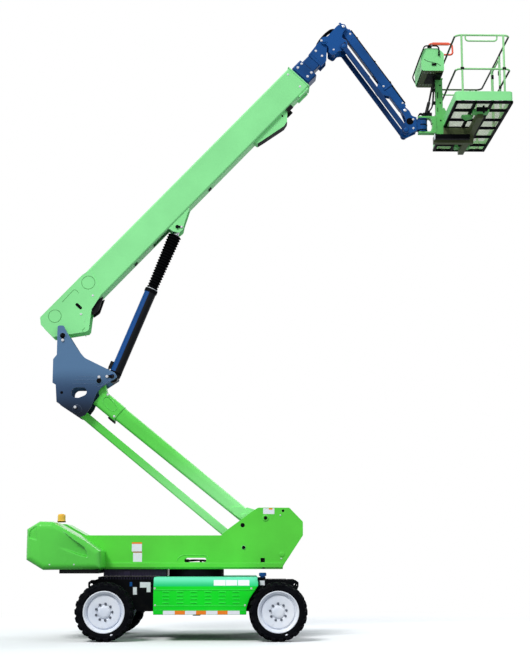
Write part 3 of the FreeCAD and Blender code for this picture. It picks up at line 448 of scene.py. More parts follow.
for node in ("fixed_left", "fixed_right", "steered_left", "steered_right"):
    hub = Vector(joints["wheel_" + node + "_spin"]["pos_m"])
    outward = 1 if hub.y > 0 else -1
    hub.y = outward * (1.245 - half_width)
    profile = [(r, half_width - t) for r, t in carcass]
    profile += [(r, -a) for r, a in reversed(profile[:-1])]
    parts = [lathe(profile, (0, 0, 0), steps=66)]
    for i in range(LUGS):
        parts += [lug(1, 2 * pi * i / LUGS), lug(-1, 2 * pi * (i + 0.5) / LUGS)]
    wheel = "wheel_" + node
    piece("tread_" + node, parts, rubber, wheel, "tyre_rubber", Matrix.Translation(hub),
          stands_for=["tyre_" + node], angle=30)
    to_hub = Matrix.Translation(hub) @ Matrix.Diagonal((1, outward, 1, 1))
    dish = lathe([(r, half_width - t) for r, t in disc], (0, 0, 0), steps=64)
    piece("disc_" + node, [dish], rim_paint, wheel, "white_rim", to_hub, stands_for=["rim_" + node], angle=28)
    turns = [2 * pi * i / 9 + (0 if "steered" in node else 0.2) for i in range(9)]
    nuts = [(0.118 * cos(turn), half_width - 0.068, 0.118 * sin(turn)) for turn in turns]
    piece("wheel_nuts_" + node, bolts(nuts, (0, 1, 0), 0.0125, 0.016), nut_grey, wheel, "white_rim", to_hub)
    stripe = rod((0, half_width - 0.010, 0.336), (0, half_width - 0.0035, 0.336), 0.011, steps=4)
    bmesh.ops.scale(stripe, vec=(2.2, 1, 1), verts=stripe.verts)
    mark_at = to_hub @ Matrix.Rotation(radians(160), 4, "Y")
    piece("wear_mark_" + node, [stripe], label_white, wheel, "tyre_rubber", mark_at)

# ---- side covers and batteries ----
# Folded steel lids, one each side of the chassis, in a stronger green. Each has a sloped shoulder, two
# raised creases, four rows of pressed louvres, and a taped band along its foot.
cover_green = enamel("cover_green", (2, 214, 34), 0.92, 1.1, roughness=0.3, edge=shade(110, 240, 140), grime=0.05)
slope_z, slope_y, cover_y, cover_top = 0.782, 0.075, 1.15, 0.905
# The sloped top is painted a paler teal: a painted reflection of the sky.
shoulder = cover_green.up.spread(slope_z - 0.006, slope_z + 0.006)
base = cover_green.coloured()
painted_sky_sheen = cover_green.mix(cover_green.up.spread(slope_z, cover_top), shade(26, 205, 120), shade(104, 232, 182))
cover_green.finish(cover_green.mix(shoulder, base, painted_sky_sheen))
lid = slab([(0.7, 0.38), (0.7, 0.91), (2.212, 0.91), (2.212, 0.79), (2.085, 0.6), (2.045, 0.48), (2.04, 0.38)],
           0.4205, cover_y)
cut_at = Vector((0, cover_y, slope_z))
bmesh.ops.bisect_plane(lid, geom=lid.verts[:] + lid.edges[:] + lid.faces[:], plane_co=cut_at, clear_outer=True,
                       plane_no=Vector((0, cover_top - slope_z, slope_y)).normalized())
bmesh.ops.holes_fill(lid, edges=[e for e in lid.edges if e.is_boundary])
eased_edges(lid, 0.010, 3)
face = [lid]
for z, deep in ((0.730, 0.006), (0.507, 0.005), (0.445, 0.004)):
    face.append(rod((0.712, cover_y, z), (2.03 if z < 0.6 else 2.16, cover_y, z), deep, steps=8))
columns = (0.880, 1.084, 1.284, 1.488, 1.692, 1.891)
for x in columns:
    for z in (0.702, 0.650, 0.599, 0.547):
        hood = rod((x - 0.048, cover_y - 0.003, z), (x + 0.048, cover_y - 0.003, z), 0.012, steps=10, edge=0.004)
        bmesh.ops.scale(hood, vec=(1, 1, 0.7), space=Matrix.Translation((0, 0, -z)), verts=hood.verts)
        face.append(hood)
on_covers = ("chassis", "cover_green", from_axle)
piece("battery_covers", face, cover_green, *on_covers, mirrored=True, stands_for=["chassis_covers"])
piece("cover_bolts", bolts([(0.719, cover_y, 0.754), (2.112, cover_y, 0.753), (0.727, cover_y, 0.514),
                            (2.021, cover_y, 0.513)], (0, 1, 0), 0.010), steel, *on_covers, mirrored=True)
tape_orange = plain("tape_orange", ((240, 118, 6), (250, 140, 20)), (25, 4), bumps=(350,), roughness=0.35)
for colour, paint, runs in (("white", label_white, ((0.843, 1.011), (1.159, 1.317), (1.461, 1.626), (1.772, 1.945))),
                            ("orange", tape_orange, ((1.011, 1.159), (1.317, 1.461), (1.626, 1.772)))):
    piece("cover_tape_" + colour, [box((a, cover_y, 0.384), (b, cover_y + 0.0012, 0.437)) for a, b in runs],
          paint, *on_covers, mirrored=True)
lean = Matrix.Translation(cut_at) @ Matrix.Rotation(radians(31.3), 4, "X")
cards = [box((a, -0.001, 0.012), (b, 0.0015, 0.104)) for a, b in ((1.569, 1.739), (1.745, 1.907), (1.919, 2.083))]
for card in cards:
    bmesh.ops.transform(card, matrix=lean, verts=card.verts)
    bmesh.ops.scale(card, vec=(1, -1, 1), verts=card.verts)
piece("cover_cards", cards, label_white, *on_covers)
pulls = [box((1.27, 0.95, 0.366), (1.376, 1.12, 0.381), 0.004)]
piece("cover_catches", pulls, frame_black, *on_frame, mirrored=True)
moulded_black = plain("moulded_black", ((8, 8, 10), (20, 21, 25)), (9, 4), (50, 3, 0.5, 0.7), (700, 2), 0.0003,
                      roughness=0.55, specular=0.12)
eased("battery_packs", moulded_black, 0.01)

# ---- slew ring ----
# The bolted ring gear between chassis and turntable, under a black skirt.
eased("slew_bearing", frame_black, 0.004)
slew = Vector(joints["turntable_slew"]["pos_m"])
ring_bolts = [(slew.x + 0.436 * cos(2 * pi * i / 30), 0.436 * sin(2 * pi * i / 30) * 0.93, deck_z)
              for i in range(30)]
piece("slew_ring_bolts", bolts([p for p in ring_bolts if abs(p[1]) < 0.405], (0, 0, 1), 0.014), steel,
      "chassis", "black_frame")
piece("slew_ring_teeth", [lathe([(0.421, 0.02), (0.428, 0.026), (0.428, 0.048), (0.421, 0.054)],
                                (slew.x, 0, deck_z), (0, 0, 1), 60)], frame_black, "chassis", "black_frame")

# ---- turntable floor, belly skirt and drive ----
# The floor plate and the black beam that carries the counterweights, a ribbed plastic skirt underneath,
# and the slew motor that stands on the floor.
body_green = enamel("body_green", (92, 212, 66), 0.92, 1.08, roughness=0.32, edge=shade(168, 236, 160), grime=0.04)
floor_mix = enamel("turntable_floor_green", (92, 212, 66), 0.92, 1.08, edge=shade(168, 236, 160), grime=0.04)
base = floor_mix.coloured()
floor_mix.finish(floor_mix.mix(floor_mix.up > 1.0195, shade(9, 9, 12), base))
eased("turntable_base", floor_mix, 0.003)
skirt_purple = plain("skirt_purple", ((14, 8, 30), (30, 19, 54)), (5, 4), bumps=(260,), depth=0.0003,
                     roughness=0.5, specular=0.3)
eased("belly_box", skirt_purple, 0.004)
ribs = [box((x, 0.3845, 0.922), (x + 0.018, 0.393, 1.012), 0.004) for x in
        [-0.088 + 0.0415 * i for i in range(22)]]
ribs += [box((0.212, 0.3845, 0.922), (0.300, 0.412, 0.985), 0.005)]
piece("skirt_ribs", ribs, skirt_purple, "turntable", "black_frame", from_axle, mirrored=True)
tray = [box((x, 0.3845, 0.868), (x + 0.018, 0.390, 0.902), 0.003) for x in [-0.171 + 0.0415 * i for i in range(24)]]
piece("tray_ribs", tray, skirt_purple, *on_frame, mirrored=True)
for node in ("slew_drive", "counterweight"):
    eased(node, frame_black, 0.008)
drive_bolts = [(1.56 + 0.082 * cos(pi * i / 4), -0.25 + 0.082 * sin(pi * i / 4), 1.104) for i in range(8)]
piece("slew_drive_bolts", bolts(drive_bolts, (0, 0, 1), 0.009), steel, "turntable", "black_frame", from_axle)

# ---- ground controls ----
# A sheet-metal box on the far side plate with a hinged lid, a key switch, a red stop button, toggles and
# a blank screen.
grey_enamel = enamel("control_grey", (70, 73, 80), roughness=0.42, specular=0.3, edge=shade(130, 134, 142))
eased("ground_control_box", grey_enamel, 0.006)
wall = 0.57
panel = [box((0.27, wall, 1.20), (0.60, wall + 0.004, 1.45), 0.002)]
panel += [rod((x, wall + 0.004, 1.24), (x, wall + 0.012, 1.24), 0.011, 12, 0.002)
          for x in (0.31, 0.355, 0.40, 0.445)]
panel += [rod((x, wall + 0.012, 1.24), (x, wall + 0.034, 1.245), 0.004, 8, tip=0.006)
          for x in (0.31, 0.355, 0.40, 0.445)]
on_controls = ("turntable", "control_grey", from_axle)
piece("ground_panel", panel, moulded_black, *on_controls)
screen = Paint("dark_screen", roughness=0.12, coat=0.5)
screen.finish(screen.mix(screen.noise(4), shade(20, 28, 34), shade(34, 44, 52)), 0.1 + screen.noise(20) * 0.08)
piece("ground_screen", [box((0.30, wall + 0.004, 1.33), (0.44, wall + 0.007, 1.42), 0.001)], screen, *on_controls)
stop_red = plain("stop_red", ((176, 22, 18), (206, 34, 26)), (40,), bumps=(400,), roughness=0.3, coat=0.3)
stop_button = [(0, 0), (0.014, 0), (0.014, 0.012), (0.023, 0.016), (0.024, 0.024), (0.016, 0.031), (0, 0.033)]
piece("ground_stop_button", [lathe(stop_button, (0.53, wall + 0.004, 1.38), steps=24)], stop_red, *on_controls)
key = box((0.527, wall + 0.014, 1.255), (0.533, wall + 0.036, 1.285), 0.002)
key_barrel = lathe([(0, 0), (0.013, 0), (0.013, 0.008), (0.008, 0.012), (0, 0.012)],
                   (0.53, wall + 0.004, 1.27), steps=20)
piece("ground_key_switch", [key_barrel, key], steel, *on_controls)

# ---- turntable sides ----
# Two thick plates, widened at the riser's foot. The near one carries the pins' end caps, a hand slot
# with an arch pressed round it, a spring latch, tapped holes, and blank signs where its labels were.
eased("turntable_sides", body_green, 0.004)
side_y = 0.43
near = Matrix.Translation((axle_x, 0, 0)) @ Matrix.Diagonal((1, -1, 1, 1))


def bead(points, y, width, height):
    """A thin pressed ridge along XZ points, standing out from a face at y."""
    parts = []
    for (x0, z0), (x1, z1) in zip(points, points[1:]):
        strip = rod((x0, y, z0), (x1, y, z1), width / 2, steps=8)
        bmesh.ops.scale(strip, vec=(1, 2 * height / width, 1), space=Matrix.Translation((0, -y, 0)),
                        verts=strip.verts)
        parts.append(strip)
    parts += [rod((x, y - height, z), (x, y + height, z), width / 2, steps=12, tip=width / 4)
              for x, z in points[1:-1]]
    return parts


arch = [(0.999, 1.150), (1.022, 1.190), (1.050, 1.214), (1.082, 1.226), (1.250, 1.229), (1.420, 1.226),
        (1.448, 1.212), (1.468, 1.180), (1.477, 1.150)]
on_near_side = ("turntable", "body_green", near)
piece("side_arch", bead(arch, side_y, 0.014, 0.008), body_green, *on_near_side)
signs = [((0.320, 1.280), (0.472, 1.393)), ((0.341, 1.127), (0.475, 1.261)), ((2.294, 1.839), (2.464, 1.925))]
piece("side_signs", [box((a[0], side_y, a[1]), (b[0], side_y + 0.0015, b[1])) for a, b in signs], label_white,
      *on_near_side)
piece("side_sign_bands", [box((0.320, side_y, 1.393), (0.472, side_y + 0.0015, 1.417)),
                          box((2.379, side_y, 1.905), (2.435, side_y + 0.002, 1.927))], tape_orange, *on_near_side)
piece("side_sign_line", [box((0.336, side_y, 1.265), (0.475, side_y + 0.0015, 1.277))], stop_red, *on_near_side)
dots = [lathe([(0, 0), (0.012, 0), (0.012, 0.004), (0.008, 0.008), (0, 0.009)], (x, side_y, z), steps=16)
        for x, z in ((2.555, 1.821), (2.566, 1.173))]
piece("side_studs", dots, steel, "turntable", "body_green", from_axle, mirrored=True)
# Near black laid in holes and slots: painted shade of their depth.
hole_shade_black = plain("hole_shade_black", ((6, 6, 8), (14, 14, 17)), (60,), roughness=0.9, specular=0.05)
plugs = [rod((1.985, 0.404, 1.672), (1.985, 0.424, 1.672), 0.033, 24),
         rod((2.595, 0.404, 1.888), (2.595, 0.426, 1.888), 0.02, 16),
         box((2.255, 0.404, 1.12), (2.32, 0.42, 1.185))]
piece("side_hole_backs", plugs, hole_shade_black, "turntable", "body_green", from_axle, mirrored=True)
latch = [box((2.284, side_y, 1.027), (2.322, side_y + 0.008, 1.108), 0.002),
         box((2.300, side_y, 1.092), (2.392, side_y + 0.006, 1.106), 0.002)]
piece("side_latch", latch, frame_black, *on_near_side)
piece("side_latch_pin", [rod((2.30, side_y + 0.008, 1.099), (2.40, side_y + 0.008, 1.099), 0.006, 10, 0.001),
                         rod((2.39, side_y, 1.099), (2.39, side_y + 0.016, 1.099), 0.010, 12, 0.002)],
      frame_black, *on_near_side)


def hose(points, radius):
    """A clipped hose or cable along a smooth line through these points."""
    line = bpy.data.curves.new("hose_line", "CURVE")
    line.dimensions, line.bevel_depth, line.bevel_resolution, line.resolution_u = "3D", radius, 2, 6
    line.use_fill_caps = True
    spline = line.splines.new("NURBS")
    spline.points.add(len(points) - 1)
    for point, place in zip(spline.points, points):
        point.co = (*place, 1)
    spline.order_u, spline.use_endpoint_u = 3, True
    holder = bpy.data.objects.new("hose_line", line)
    mesh = bpy.data.meshes.new_from_object(holder)
    bm = bmesh.new()
    bm.from_mesh(mesh)
    for made, kind in ((mesh, "meshes"), (holder, "objects"), (line, "curves")):
        getattr(bpy.data, kind).remove(made)
    bmesh.ops.remove_doubles(bm, verts=bm.verts, dist=1e-5)
    return bm


# The trough between the side plates: hoses from the slew centre to the riser's foot, with their clamps.
trough = []
for i, (y, rise) in enumerate(((-0.07, 0), (-0.035, 0.012), (0.0, 0.004), (0.035, 0.016), (0.07, 0.002))):
    trough.append(hose([(1.05, y * 0.6, 1.06), (1.10, y * 0.8, 1.13), (1.22, y, 1.158 - rise),
                        (1.42, y, 1.140 + rise), (1.6, y, 1.075 + rise), (1.9, y + 0.02, 1.07),
                        (2.2, y + 0.03, 1.075), (2.42, y, 1.15), (2.45, y, 1.30)], 0.012))
trough += [box((x, -0.11, 1.045), (x + 0.03, 0.12, 1.094), 0.004) for x in (1.62, 2.0)]
trough += [box((1.10, -0.10, 1.045), (1.16, 0.10, 1.165), 0.006),
           box((1.33, -0.10, 1.045), (1.36, 0.10, 1.150), 0.004)]
piece("trough_hoses", trough, moulded_black, "turntable", "black_frame", from_axle)

# ---- tail cowls ----
# Two moulded glass-fibre shells over the counterweights. Each has a domed rim, a sloping rear facet with
# a shallow hand recess, and a wedge pressed in under its swept shoulder.
cowl_rim = [(-1.163, 1.160), (-1.163, 1.600), (-0.970, 1.711), (-0.690, 1.703), (-0.370, 1.486), (-0.224, 1.401),
            (-0.076, 1.319), (-0.062, 1.050), (-0.077, 1.023), (-0.900, 1.013)]


def along(line, x):
    """Height of a broken line at x, held level past its ends."""
    for (x0, z0), (x1, z1) in zip(line, line[1:]):
        if x <= x1:
            return z0 + (z1 - z0) * max(0.0, x - x0) / (x1 - x0)
    return line[-1][1]


def inside(shape, x, z):
    """How far a point is inside a clockwise convex outline. It is negative outside."""
    near = 9.0
    for (x0, z0), (x1, z1) in zip(shape, shape[1:] + shape[:1]):
        near = min(near, ((z1 - z0) * (x - x0) - (x1 - x0) * (z - z0)) / hypot(x1 - x0, z1 - z0))
    return near


def ramp(value, low, high):
    share = min(1.0, max(0.0, (value - low) / (high - low)))
    return share * share * (3 - 2 * share)


shell = bmesh.new()
bmesh.ops.create_grid(shell, x_segments=140, y_segments=90, size=0.5)
bmesh.ops.scale(shell, vec=(1.12, 0.72, 1), verts=shell.verts)
bmesh.ops.rotate(shell, matrix=Matrix.Rotation(pi / 2, 3, "X"), verts=shell.verts)
bmesh.ops.translate(shell, vec=(-0.61, 0, 1.36), verts=shell.verts)
for (x0, z0), (x1, z1) in zip(cowl_rim, cowl_rim[1:] + cowl_rim[:1]):
    bmesh.ops.bisect_plane(shell, geom=shell.verts[:] + shell.edges[:] + shell.faces[:], plane_co=(x0, 0, z0),
                           plane_no=(z0 - z1, 0, x1 - x0), clear_outer=True)
bmesh.ops.remove_doubles(shell, verts=shell.verts, dist=0.002)
DOME, COWL_FACE, SLOT_FACE = 0.085, 1.163, 0.352
wedge_top = [(-0.700, 1.640), (-0.603, 1.556), (-0.456, 1.441), (-0.309, 1.342), (-0.270, 1.26), (-0.256, 1.215)]
wedge_low = [(-0.700, 1.330), (-0.625, 1.306), (-0.509, 1.267), (-0.363, 1.213), (-0.248, 1.192)]
recess = [(-1.127, 1.470), (-1.109, 1.584), (-1.003, 1.663), (-0.996, 1.434)]
for v in shell.verts:
    x, z = v.co.x, v.co.z
    depth = max(0.0, DOME - max(0.0, inside(cowl_rim, x, z)))
    y = COWL_FACE - DOME + (DOME ** 2 - depth ** 2) ** 0.5
    y -= max(0.0, -0.955 - x) * 0.42 + max(0.0, z - 1.60) * 0.10
    y -= 0.022 * ramp(inside(recess, x, z), 0.0, 0.014)
    wedge = ramp(along(wedge_top, x) - z, 0.0, 0.012) * ramp(z - along(wedge_low, x), 0.0, 0.03)
    y -= 0.060 * wedge * ramp(x, -0.70, -0.34) * ramp(-0.250 - x, 0.0, 0.02)
    v.co.y = y
skirt = bmesh.ops.extrude_edge_only(shell, edges=[e for e in shell.edges if e.is_boundary])["geom"]
for v in skirt:
    if isinstance(v, bmesh.types.BMVert):
        v.co.y = SLOT_FACE
bmesh.ops.holes_fill(shell, edges=[e for e in shell.edges if e.is_boundary])
bmesh.ops.recalc_face_normals(shell, faces=shell.faces)
cowl_green = enamel("cowl_green", (86, 206, 70), 0.92, 1.08, roughness=0.26, coat=0.35, edge=shade(150, 236, 150),
                    grime=0.06)
piece("cowls", [shell], cowl_green, "turntable", "cowl_green", from_axle, mirrored=True,
      stands_for=["tail_cowls"], angle=38)
cowl_screws = [(-1.10, 1.068, 1.25), (-0.80, COWL_FACE - 0.002, 1.09), (-0.45, COWL_FACE - 0.002, 1.09)]
piece("cowl_screws", [lathe([(0, -0.004), (0.011, -0.004), (0.011, 0.001), (0.007, 0.004), (0, 0.004)], p,
                            steps=14) for p in cowl_screws], steel, "turntable", "cowl_green", from_axle,
      mirrored=True)

# ---- beacon ----
# An amber flashing lamp: a black foot, and a ribbed clear lens with a flat top.
amber = Paint("amber_lens", roughness=0.18, coat=0.4)
glow = amber.noise(20, 3)
amber.finish(amber.mix(glow, shade(236, 160, 14), shade(252, 206, 60)), relief=glow, depth=0.0004)
low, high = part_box("beacon")
lamp_at = Vector(((low[0] + high[0]) / 2, (low[1] + high[1]) / 2, low[2]))
top = high[2] - low[2]
lens_profile = [(0, 0.012), (0.062, 0.012), (0.062, 0.020)]
lens_profile += [(0.060 - 0.003 * (i % 2), 0.024 + 0.010 * i) for i in range(8)]
lens_profile += [(0.056, top - 0.012), (0.048, top - 0.003), (0.036, top), (0, top)]
piece("beacon_lens", [lathe(lens_profile, lamp_at, (0, 0, 1), 32)], amber, "turntable", "amber_lens",
      stands_for=["beacon"])
piece("beacon_foot", [lathe([(0, -0.004), (0.058, -0.004), (0.063, 0.002), (0.063, 0.010), (0.058, 0.013),
                             (0, 0.013)], lamp_at, (0, 0, 1), 32)], moulded_black, "turntable", "amber_lens")

# ---- riser, tie link and rams ----
# A tapering box tube with a thicker sleeve at its head and folded shoulders along its length, a flat tie
# link below it that keeps the knuckle upright, and two rams beside its foot.
riser_head = Vector(joints["knuckle_level"]["pos_m"])
riser_foot = Vector(joints["riser_lift"]["pos_m"])
link_foot = Vector(joints["riser_tie_swing"]["pos_m"])


def beside(origin, toward):
    """The place of a part drawn along +X from origin to another point, with +Z square to that in the XZ plane."""
    ahead = (Vector(toward) - Vector(origin)).normalized()
    across = Vector((0, 1, 0))
    turn = Matrix((ahead, across, ahead.cross(across))).transposed().to_4x4()
    return Matrix.Translation(origin) @ turn


riser_green = enamel("riser_green", (96, 214, 82), 0.92, 1.08, roughness=0.3, edge=shade(160, 240, 164), grime=0.0)
# Below three metres it is painted paler towards the foot: a painted highlight.
base = riser_green.coloured()
riser_green.finish(riser_green.mix(riser_green.up.spread(3.0, 1.9), base, shade(150, 240, 150)))
eased("riser", riser_green, 0.003)
eased("riser_tie_link", riser_green, 0.003)
on_riser = beside(riser_head, riser_foot)
oval = [(0.225, -0.158), (0.235, -0.115), (0.268, -0.098), (0.340, -0.102), (0.440, -0.122), (0.480, -0.145),
        (0.486, -0.190), (0.452, -0.228), (0.380, -0.234), (0.290, -0.226), (0.240, -0.205), (0.225, -0.158),
        (0.235, -0.115)]
sleeve_y = 0.164
piece("sleeve_pressing", bead(oval, sleeve_y, 0.012, 0.006), riser_green, "riser", "arm_green", on_riser,
      mirrored=True)
piece("sleeve_bolts", bolts([(0.235, sleeve_y, -0.075), (0.53, sleeve_y, -0.27)], (0, 1, 0), 0.012), steel,
      "riser", "arm_green", on_riser, mirrored=True)
piece("sleeve_stop", [box((0.46, -0.12, -0.352), (0.58, 0.12, -0.322), 0.008)], moulded_black, "riser",
      "arm_green", on_riser)
foot_y, head_y = 0.436, 0.231
for name, profile, pin, y, steps, paint, body, slot in (
        ("riser_pin_caps", [(0, -0.002), (0.044, -0.002), (0.044, 0.004), (0.038, 0.008), (0.030, 0.006),
                            (0, 0.006)], riser_foot, foot_y, 32, body_green, "riser", "body_green"),
        ("riser_pin_centres", [(0, 0.004), (0.027, 0.004), (0.027, 0.009), (0.02, 0.012), (0, 0.012)],
         riser_foot, foot_y, 24, frame_black, "riser", "arm_green"),
        ("link_pin_centres", [(0, -0.002), (0.026, -0.002), (0.026, 0.006), (0.02, 0.01), (0, 0.01)],
         link_foot, foot_y, 24, frame_black, "riser_tie_link", "body_green"),
        ("riser_head_caps", [(0, -0.001), (0.0375, -0.001), (0.0375, 0.002), (0.032, 0.005), (0, 0.005)],
         riser_head, head_y, 28, frame_black, "riser", "arm_green")):
    piece(name, [lathe(profile, (0, y, 0), steps=steps)], paint, body, slot, Matrix.Translation(pin),
          mirrored=True)
cylinder_black = enamel("cylinder_black", (8, 9, 12), roughness=0.36, edge=shade(70, 74, 84), grime=0.0)
eased("riser_cylinder_barrels", cylinder_black, 0.003)
eased("riser_cylinder_rods", chrome)
ram_foot = Vector(joints["riser_cylinder_swing"]["pos_m"])
ram_ahead = Vector(joints["riser_cylinder_stroke"]["axis"])
low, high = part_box("riser_cylinder_rods")
ram_lug = ram_foot + ram_ahead * ((ram_foot.x - low[0] - 0.045) / -ram_ahead.x)
eye = [(0.030, -0.041), (0.0465, -0.041), (0.0465, 0.041), (0.041, 0.046), (0, 0.046)]
piece("riser_ram_eyes", [lathe(eye, (ram_lug.x, 0.27, ram_lug.z), steps=32)], riser_green,
      "riser_cylinder_rods", "arm_green", mirrored=True)
cover = [(0, -0.001), (0.036, -0.001), (0.036, 0.003), (0.030, 0.006), (0, 0.006)]
piece("ram_pin_covers", [lathe(cover, (ram_foot.x, foot_y, ram_foot.z), steps=28)], body_green,
      "riser_cylinder_barrels", "body_green", mirrored=True)

# ---- knuckle between riser and main boom ----
# Two burnt-out steel plates in dark metallic blue, held apart by cross tubes. Each pin is locked by a keeper
# bolted beside it.
navy = enamel("knuckle_navy", (4, 14, 32), 0.9, 1.1, roughness=0.38, edge=shade(90, 110, 138), grime=0.0)
base = navy.coloured()
# Painted light: the plates grow paler with height, as if lit from above, and their edges get a painted highlight.
height = navy.up + navy.noise(0.8, 3) * 0.2
tone = navy.mix(height.spread(3.45, 3.85), base, shade(48, 72, 104))
tone = navy.mix(height.spread(3.80, 4.20), tone, shade(88, 122, 158))
navy.finish(navy.mix(navy.edges(0.006) * 0.5, tone, shade(150, 166, 190)))
eased("knuckle", navy, 0.004)
boom_pin = Vector(joints["main_boom_lift"]["pos_m"])
lift_foot = Vector(joints["lift_cylinder_swing"]["pos_m"])
link_head = link_foot + riser_head - riser_foot
plate_y = 0.225
rings, keepers, fixings = [], [], []
for pin, radius, toward in ((boom_pin, 0.04, (0.002, -0.073)), (riser_head, 0.038, (-0.001, 0.059)),
                            (lift_foot, 0.036, (-0.078, -0.002)), (link_head, 0.032, (-0.030, 0.03))):
    rings.append(lathe([(radius + 0.001, 0), (radius + 0.02, 0), (radius + 0.018, 0.005), (radius + 0.003, 0.006)],
                       (pin.x, plate_y, pin.z), steps=28))
    x, z = pin.x + toward[0], pin.z + toward[1]
    wide = Vector((toward[1], -toward[0])).normalized() * 0.026
    arm = Vector(toward).normalized() * 0.026
    diamond = [(pin.x + wide.x, pin.z + wide.y), (pin.x - wide.x, pin.z - wide.y),
               (x - wide.x * 0.5 + arm.x * 0.2, z - wide.y * 0.5 + arm.y * 0.2), (x + arm.x, z + arm.y),
               (x + wide.x * 0.5 + arm.x * 0.2, z + wide.y * 0.5 + arm.y * 0.2)]
    keepers.append(slab(diamond, plate_y + 0.006, plate_y + 0.013, 0.002))
    fixings += bolts([(x, plate_y + 0.013, z)], (0, 1, 0), 0.015)
on_knuckle = ("knuckle", "knuckle_navy")
piece("knuckle_pin_rings", rings, navy, *on_knuckle, mirrored=True)
piece("knuckle_keepers", keepers, frame_black, *on_knuckle, mirrored=True)
piece("knuckle_bolts", fixings, steel, *on_knuckle, mirrored=True)
pressed = []
for z, x0, x1 in ((0.066, -0.320, -0.090), (0.013, -0.385, -0.065), (-0.046, -0.410, -0.062)):
    pressed += bead([(riser_head.x + x0, riser_head.z + z), (riser_head.x + x1, riser_head.z + z)], plate_y,
                    0.008, 0.003)
pressed += bead([(riser_head.x - 0.06 + 0.05 * i, riser_head.z + z) for i, z in
                 enumerate((-0.083, -0.092, -0.078, -0.05, -0.015, 0.02))], plate_y, 0.010, 0.004)
piece("knuckle_pressings", pressed, navy, *on_knuckle, mirrored=True)
boss = lathe([(0, 0), (0.072, 0), (0.072, 0.004), (0.064, 0.009), (0, 0.009)],
             (link_head.x, plate_y, link_head.z), steps=32)
hollow = lathe([(0, -0.002), (0.022, -0.002), (0.022, 0.002), (0, 0.002)],
               (riser_head.x - 0.573, plate_y, riser_head.z - 0.184), steps=20)
piece("knuckle_bosses", [boss], navy, *on_knuckle, mirrored=True)
piece("knuckle_tapped_holes", [hollow], hole_shade_black, *on_knuckle, mirrored=True)

# ---- main boom, outer section ----
# A welded box section in pale green. Doubler plates wrap its tail round the pivot, the lift cylinder is
# pinned to a pair of lugs below, and a pad near its end rests on the chassis once the boom is down.
boom_green = enamel("boom_green", (149, 240, 157), 0.94, 1.05, edge=shade(196, 246, 204), grime=0.0)
boom_out = Vector(joints["boom_extend_middle"]["axis"])
on_boom = beside(boom_pin, boom_pin + boom_out)
eased("boom_outer", boom_green, 0.004)
cheek_y, tube_y = 0.167, 0.155


def ring(u, v, radius, count=28):
    """Points round a circle, closed on itself."""
    return [(u + radius * cos(2 * pi * i / count), v + radius * sin(2 * pi * i / count)) for i in range(count + 2)]


pressed = []
for line in (ring(0.880, 0.320, 0.105), ring(0.137, 0.321, 0.100),
             [(0.374, 0.396), (0.633, 0.405), (0.655, 0.390), (0.662, 0.357), (0.653, 0.305)],
             [(0.330, -0.150), (0.277, -0.149), (0.253, -0.196)]):
    pressed += bead(line, cheek_y, 0.010, 0.004)
# The pressed lines are painted darker green: painted shade in their creases.
painted_crease_shade = enamel("painted_crease_shade", (104, 178, 108), 0.92, 1.06, edge=shade(120, 196, 124), grime=0.0)
on_outer_boom = ("boom_outer", "arm_green", on_boom)
piece("boom_pressings", pressed, painted_crease_shade, *on_outer_boom, mirrored=True)
web = slab([(0.330, -0.205), (0.345, -0.218), (0.660, 0.020), (0.640, 0.040), (0.420, -0.030)], 0.1555, 0.1665)
piece("boom_cheek_webs", [web], boom_green, *on_outer_boom, mirrored=True)
slot_hole = slab([(0.482, 0.098, 0.022), (0.530, 0.098, 0.022), (0.530, 0.222, 0.022), (0.482, 0.222, 0.022)],
                 cheek_y - 0.002, cheek_y + 0.001)
rest_hole = lathe([(0, 0), (0.016, 0), (0.016, 0.002), (0, 0.002)], (5.009, 0.1045, -0.007), steps=20)
piece("boom_tail_slots", [slot_hole, rest_hole], hole_shade_black, *on_outer_boom, mirrored=True)
guides = slab([(0.700, 0.056), (0.884, -0.002, 0.01), (0.668, -0.104, 0.02), (0.544, -0.080, 0.02)], 0.09,
              0.135, 0.004)
piece("boom_hose_guides", [guides], moulded_black, *on_outer_boom, mirrored=True)
pads = [box((5.42, y, -0.004), (5.63, y + 0.05, 0.021), 0.006) for y in (-0.15, 0.10)]
piece("boom_pad_plates", pads, boom_green, *on_outer_boom)
lip = [box((5.652, -0.163, v), (5.674, 0.163, v + 0.022), 0.004) for v in (0.008, 0.460)]
lip += [box((5.652, y, 0.012), (5.674, y + 0.01, 0.478), 0.003) for y in (-0.163, 0.153)]
piece("boom_end_lip", lip, boom_green, *on_outer_boom)
piece("boom_wear_bolts", bolts([(5.571, tube_y, 0.399), (5.556, tube_y, 0.119), (0.44, cheek_y, 0.045),
                                (0.78, cheek_y, 0.12), (0.05, cheek_y, 0.12)], (0, 1, 0), 0.012), steel,
      *on_outer_boom, mirrored=True)
under = [slab([(4.400, -0.030), (4.496, -0.052), (4.903, -0.137), (4.988, -0.122), (4.992, -0.130),
               (4.903, -0.147), (4.496, -0.062), (4.396, -0.038)], -0.095, 0.095),
         box((5.112, -0.15, -0.040), (5.231, -0.11, 0.021), 0.006),
         box((5.112, 0.11, -0.040), (5.231, 0.15, 0.021), 0.006),
         box((1.60, -0.05, 0.006), (1.66, 0.05, 0.021), 0.004),
         box((3.30, -0.05, 0.006), (3.36, 0.05, 0.021), 0.004)]
piece("boom_rest_strips", under, moulded_black, *on_outer_boom)
lift_head = on_boom @ Vector((2.5, 0, -0.065))
lug_pin = [lathe([(0, 0), (0.030, 0), (0.030, 0.006), (0.022, 0.010), (0, 0.010)], (0, 0.151, 0), steps=24),
           slab([(-0.03, -0.016), (-0.03, 0.016), (0.085, 0.016, 0.006), (0.085, -0.016, 0.006)], 0.138,
                0.146, 0.002)]
on_lug = ("boom_outer", "arm_green", Matrix.Translation(lift_head))
